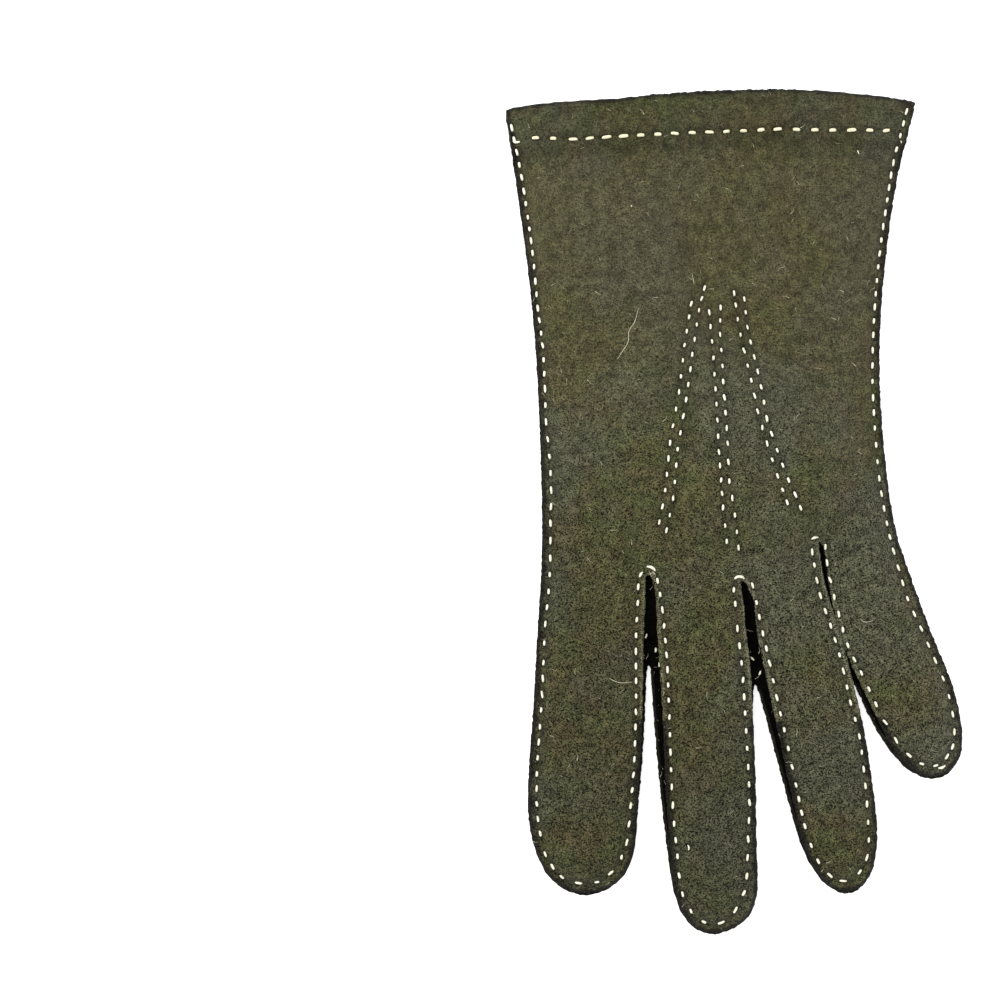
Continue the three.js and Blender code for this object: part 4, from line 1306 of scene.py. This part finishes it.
def brightness(tree, grain, rubbed):
    """How bright the cloth is: by its grain, its rubbed places, and its painted shade and darkening."""
    bright = add(tree, "ShaderNodeMapRange", {"Value": grain, **GRAIN_LIGHT}).outputs[0]
    uneven = add(tree, "ShaderNodeMapRange", {"Value": rubbed, **RUBBED_LIGHT}).outputs[0]
    # The kept shade darkens the cloth with painted shade and shadow, and with darker bands.
    painted_shade_and_tone = add(tree, "ShaderNodeAttribute", attribute_name="shade").outputs["Fac"]
    for factor in (uneven, painted_shade_and_tone):
        bright = add(tree, "ShaderNodeMath", {0: bright, 1: factor}, operation="MULTIPLY").outputs[0]
    return bright


def dark_edge_and_shade_share(tree, rubbed):
    """How much of the cut edge's dark colour and painted shade shows."""
    away = add(tree, "ShaderNodeAttribute", attribute_name="edge").outputs["Fac"]
    sockets = {0: rubbed, 1: RUBBED_EDGE, 2: away}
    worn = add(tree, "ShaderNodeMath", sockets, operation="MULTIPLY_ADD").outputs[0]
    return add(tree, "ShaderNodeMapRange", {"Value": worn, **DARK_EDGE_AND_SHADE}).outputs[0]


def brushed_cotton(name, green, brown, grey, edge, sheen=0.05):
    """Brushed woven cotton in three mixed shades, with dark cut edges that are partly painted shade."""
    material, tree, shader = new_material(name)
    place = add(tree, "ShaderNodeTexCoord").outputs["Object"]
    rubbed = add(tree, "ShaderNodeTexNoise", {"Vector": place, **RUBBED}).outputs["Fac"]
    grain = grain_of(tree, place)
    sockets = {0: dark_edge_and_shade_share(tree, rubbed), 6: dye(tree, place, green, brown, grey), 7: colour(edge)}
    tone = add(tree, "ShaderNodeMix", sockets, data_type="RGBA").outputs[2]
    for factor in (speckle_of(tree, place), brightness(tree, grain, rubbed)):
        sockets = {0: 1.0, 6: tone, 7: factor}
        tone = add(tree, "ShaderNodeMix", sockets, data_type="RGBA", blend_type="MULTIPLY").outputs[2]
    relief = add(tree, "ShaderNodeBump", {"Height": grain, **GRAIN_RELIEF})
    tree.links.new(tone, shader.inputs["Base Color"])
    tree.links.new(relief.outputs[0], shader.inputs["Normal"])
    shader.inputs["Roughness"].default_value = CLOTH_ROUGHNESS
    shader.inputs["Specular IOR Level"].default_value = sheen
    shader.inputs["Sheen Weight"].default_value = sheen
    shader.inputs["Sheen Roughness"].default_value = SHEEN_ROUGHNESS
    return material


# The last colour is the near-black of the cut edges, partly their own colour and partly painted shade.
glove_cotton = brushed_cotton("brushed_cotton_olive", "#404227", "#453f29", "#444436", "#141310")
# The gussets' near-black is painted shade: the strips are the same olive cotton, and only lie in deep shadow
# between the fingers.
gusset_painted_shade_cotton = brushed_cotton("brushed_cotton_painted_shade", "#060604", "#070604", "#060605", "#030303", 0.01)
print("cloth:", glove_cotton.name, gusset_painted_shade_cotton.name)

# %% [markdown]
# ## Thread and lint
#
# The thread is cream waxed cotton of two twisted strands, a little smoother than the cloth, with a fine
# ripple from its twist. Lint and the loose fibres are undyed cotton, paler than the cloth and see-through
# when thin, which a greyish cream stands for. The light table is opal glass, which glows evenly.

# %% Thread and fibres
TWIST = {"Scale": 1 / (0.45 * MM), "Detail": 2}
LIGHT_SHARE = {"From Min": 0.3, "From Max": 0.55}
TWIST_RELIEF = 0.15 * MM
THREAD_ROUGHNESS = 0.6
THREAD_SHEEN = 0.1
TABLE_ROUGHNESS = 0.9
TABLE_GLOW = 0.5


def cotton_thread(name, light, hollow_shade, ripple=0.4):
    """Twisted cotton thread in one colour, with painted shade in the hollows of its twist."""
    material, tree, shader = new_material(name)
    place = add(tree, "ShaderNodeTexCoord").outputs["Object"]
    twist = add(tree, "ShaderNodeTexNoise", {"Vector": place, **TWIST}).outputs["Fac"]
    share = add(tree, "ShaderNodeMapRange", {"Value": twist, **LIGHT_SHARE}).outputs[0]
    # The darker colour is painted shade, laid where the twist's relief is low.
    tone = add(tree, "ShaderNodeMix", {0: share, 6: colour(hollow_shade), 7: colour(light)}, data_type="RGBA")
    relief = add(tree, "ShaderNodeBump", {"Height": twist, "Strength": ripple, "Distance": TWIST_RELIEF})
    tree.links.new(tone.outputs[2], shader.inputs["Base Color"])
    tree.links.new(relief.outputs[0], shader.inputs["Normal"])
    shader.inputs["Roughness"].default_value = THREAD_ROUGHNESS
    shader.inputs["Sheen Weight"].default_value = THREAD_SHEEN
    return material


cream_thread = cotton_thread("cotton_thread_cream", "#f4f1de", "#cfc9a6")
hem_thread = cotton_thread("cotton_thread_yellowed", "#f2ebc9", "#cdc294")
pale_lint = cotton_thread("cotton_lint_pale", "#bab79b", "#8d8a70", 0.1)
dark_fray = cotton_thread("cotton_fray_dark", "#3a3a2a", "#232319", 0.1)
table_glass, _, opal = new_material("opal_table_glass")
opal.inputs["Base Color"].default_value = colour("#f7f7f7")
opal.inputs["Roughness"].default_value = TABLE_ROUGHNESS
opal.inputs["Emission Color"].default_value = colour("#ffffff")
opal.inputs["Emission Strength"].default_value = TABLE_GLOW
print("threads:", ", ".join(material.name for material in (cream_thread, hem_thread, pale_lint, dark_fray)))

# %% [markdown]
# ## Finishing
#
# Each piece gets its material, and each piece of cloth is measured for the flat cloth that it needs. The
# cloth pieces are declared as sheets, with the size that they were cut to
# from flat cloth, and the record's two finishes are named, so that a scene can repaint them.

# %% Materials on the pieces
def dress(pieces, material):
    """Gives pieces their material."""
    for piece in pieces:
        piece.data.materials.clear()
        piece.data.materials.append(material)


dress([back, palm, thumb], glove_cotton)
dress(gussets, gusset_painted_shade_cotton)
dress([*rows, *tacks, *specks], cream_thread)
dress([rows[2], rows[4]], hem_thread)
dress([*lint, *hairs], pale_lint)
dress(frayed, dark_fray)
dress([table], table_glass)
print(len(cloth), "pieces of cloth and", len(rows) + len(tacks), "rows and tacks have their materials")


def flat_area(piece):
    """The area of one of a shell's two faces."""
    return sum(face.area for face in piece.data.polygons) / 2


for piece in cloth:
    print(piece.name, "needs", round(flat_area(piece) * 1e4, 1), "square centimetres of cloth")
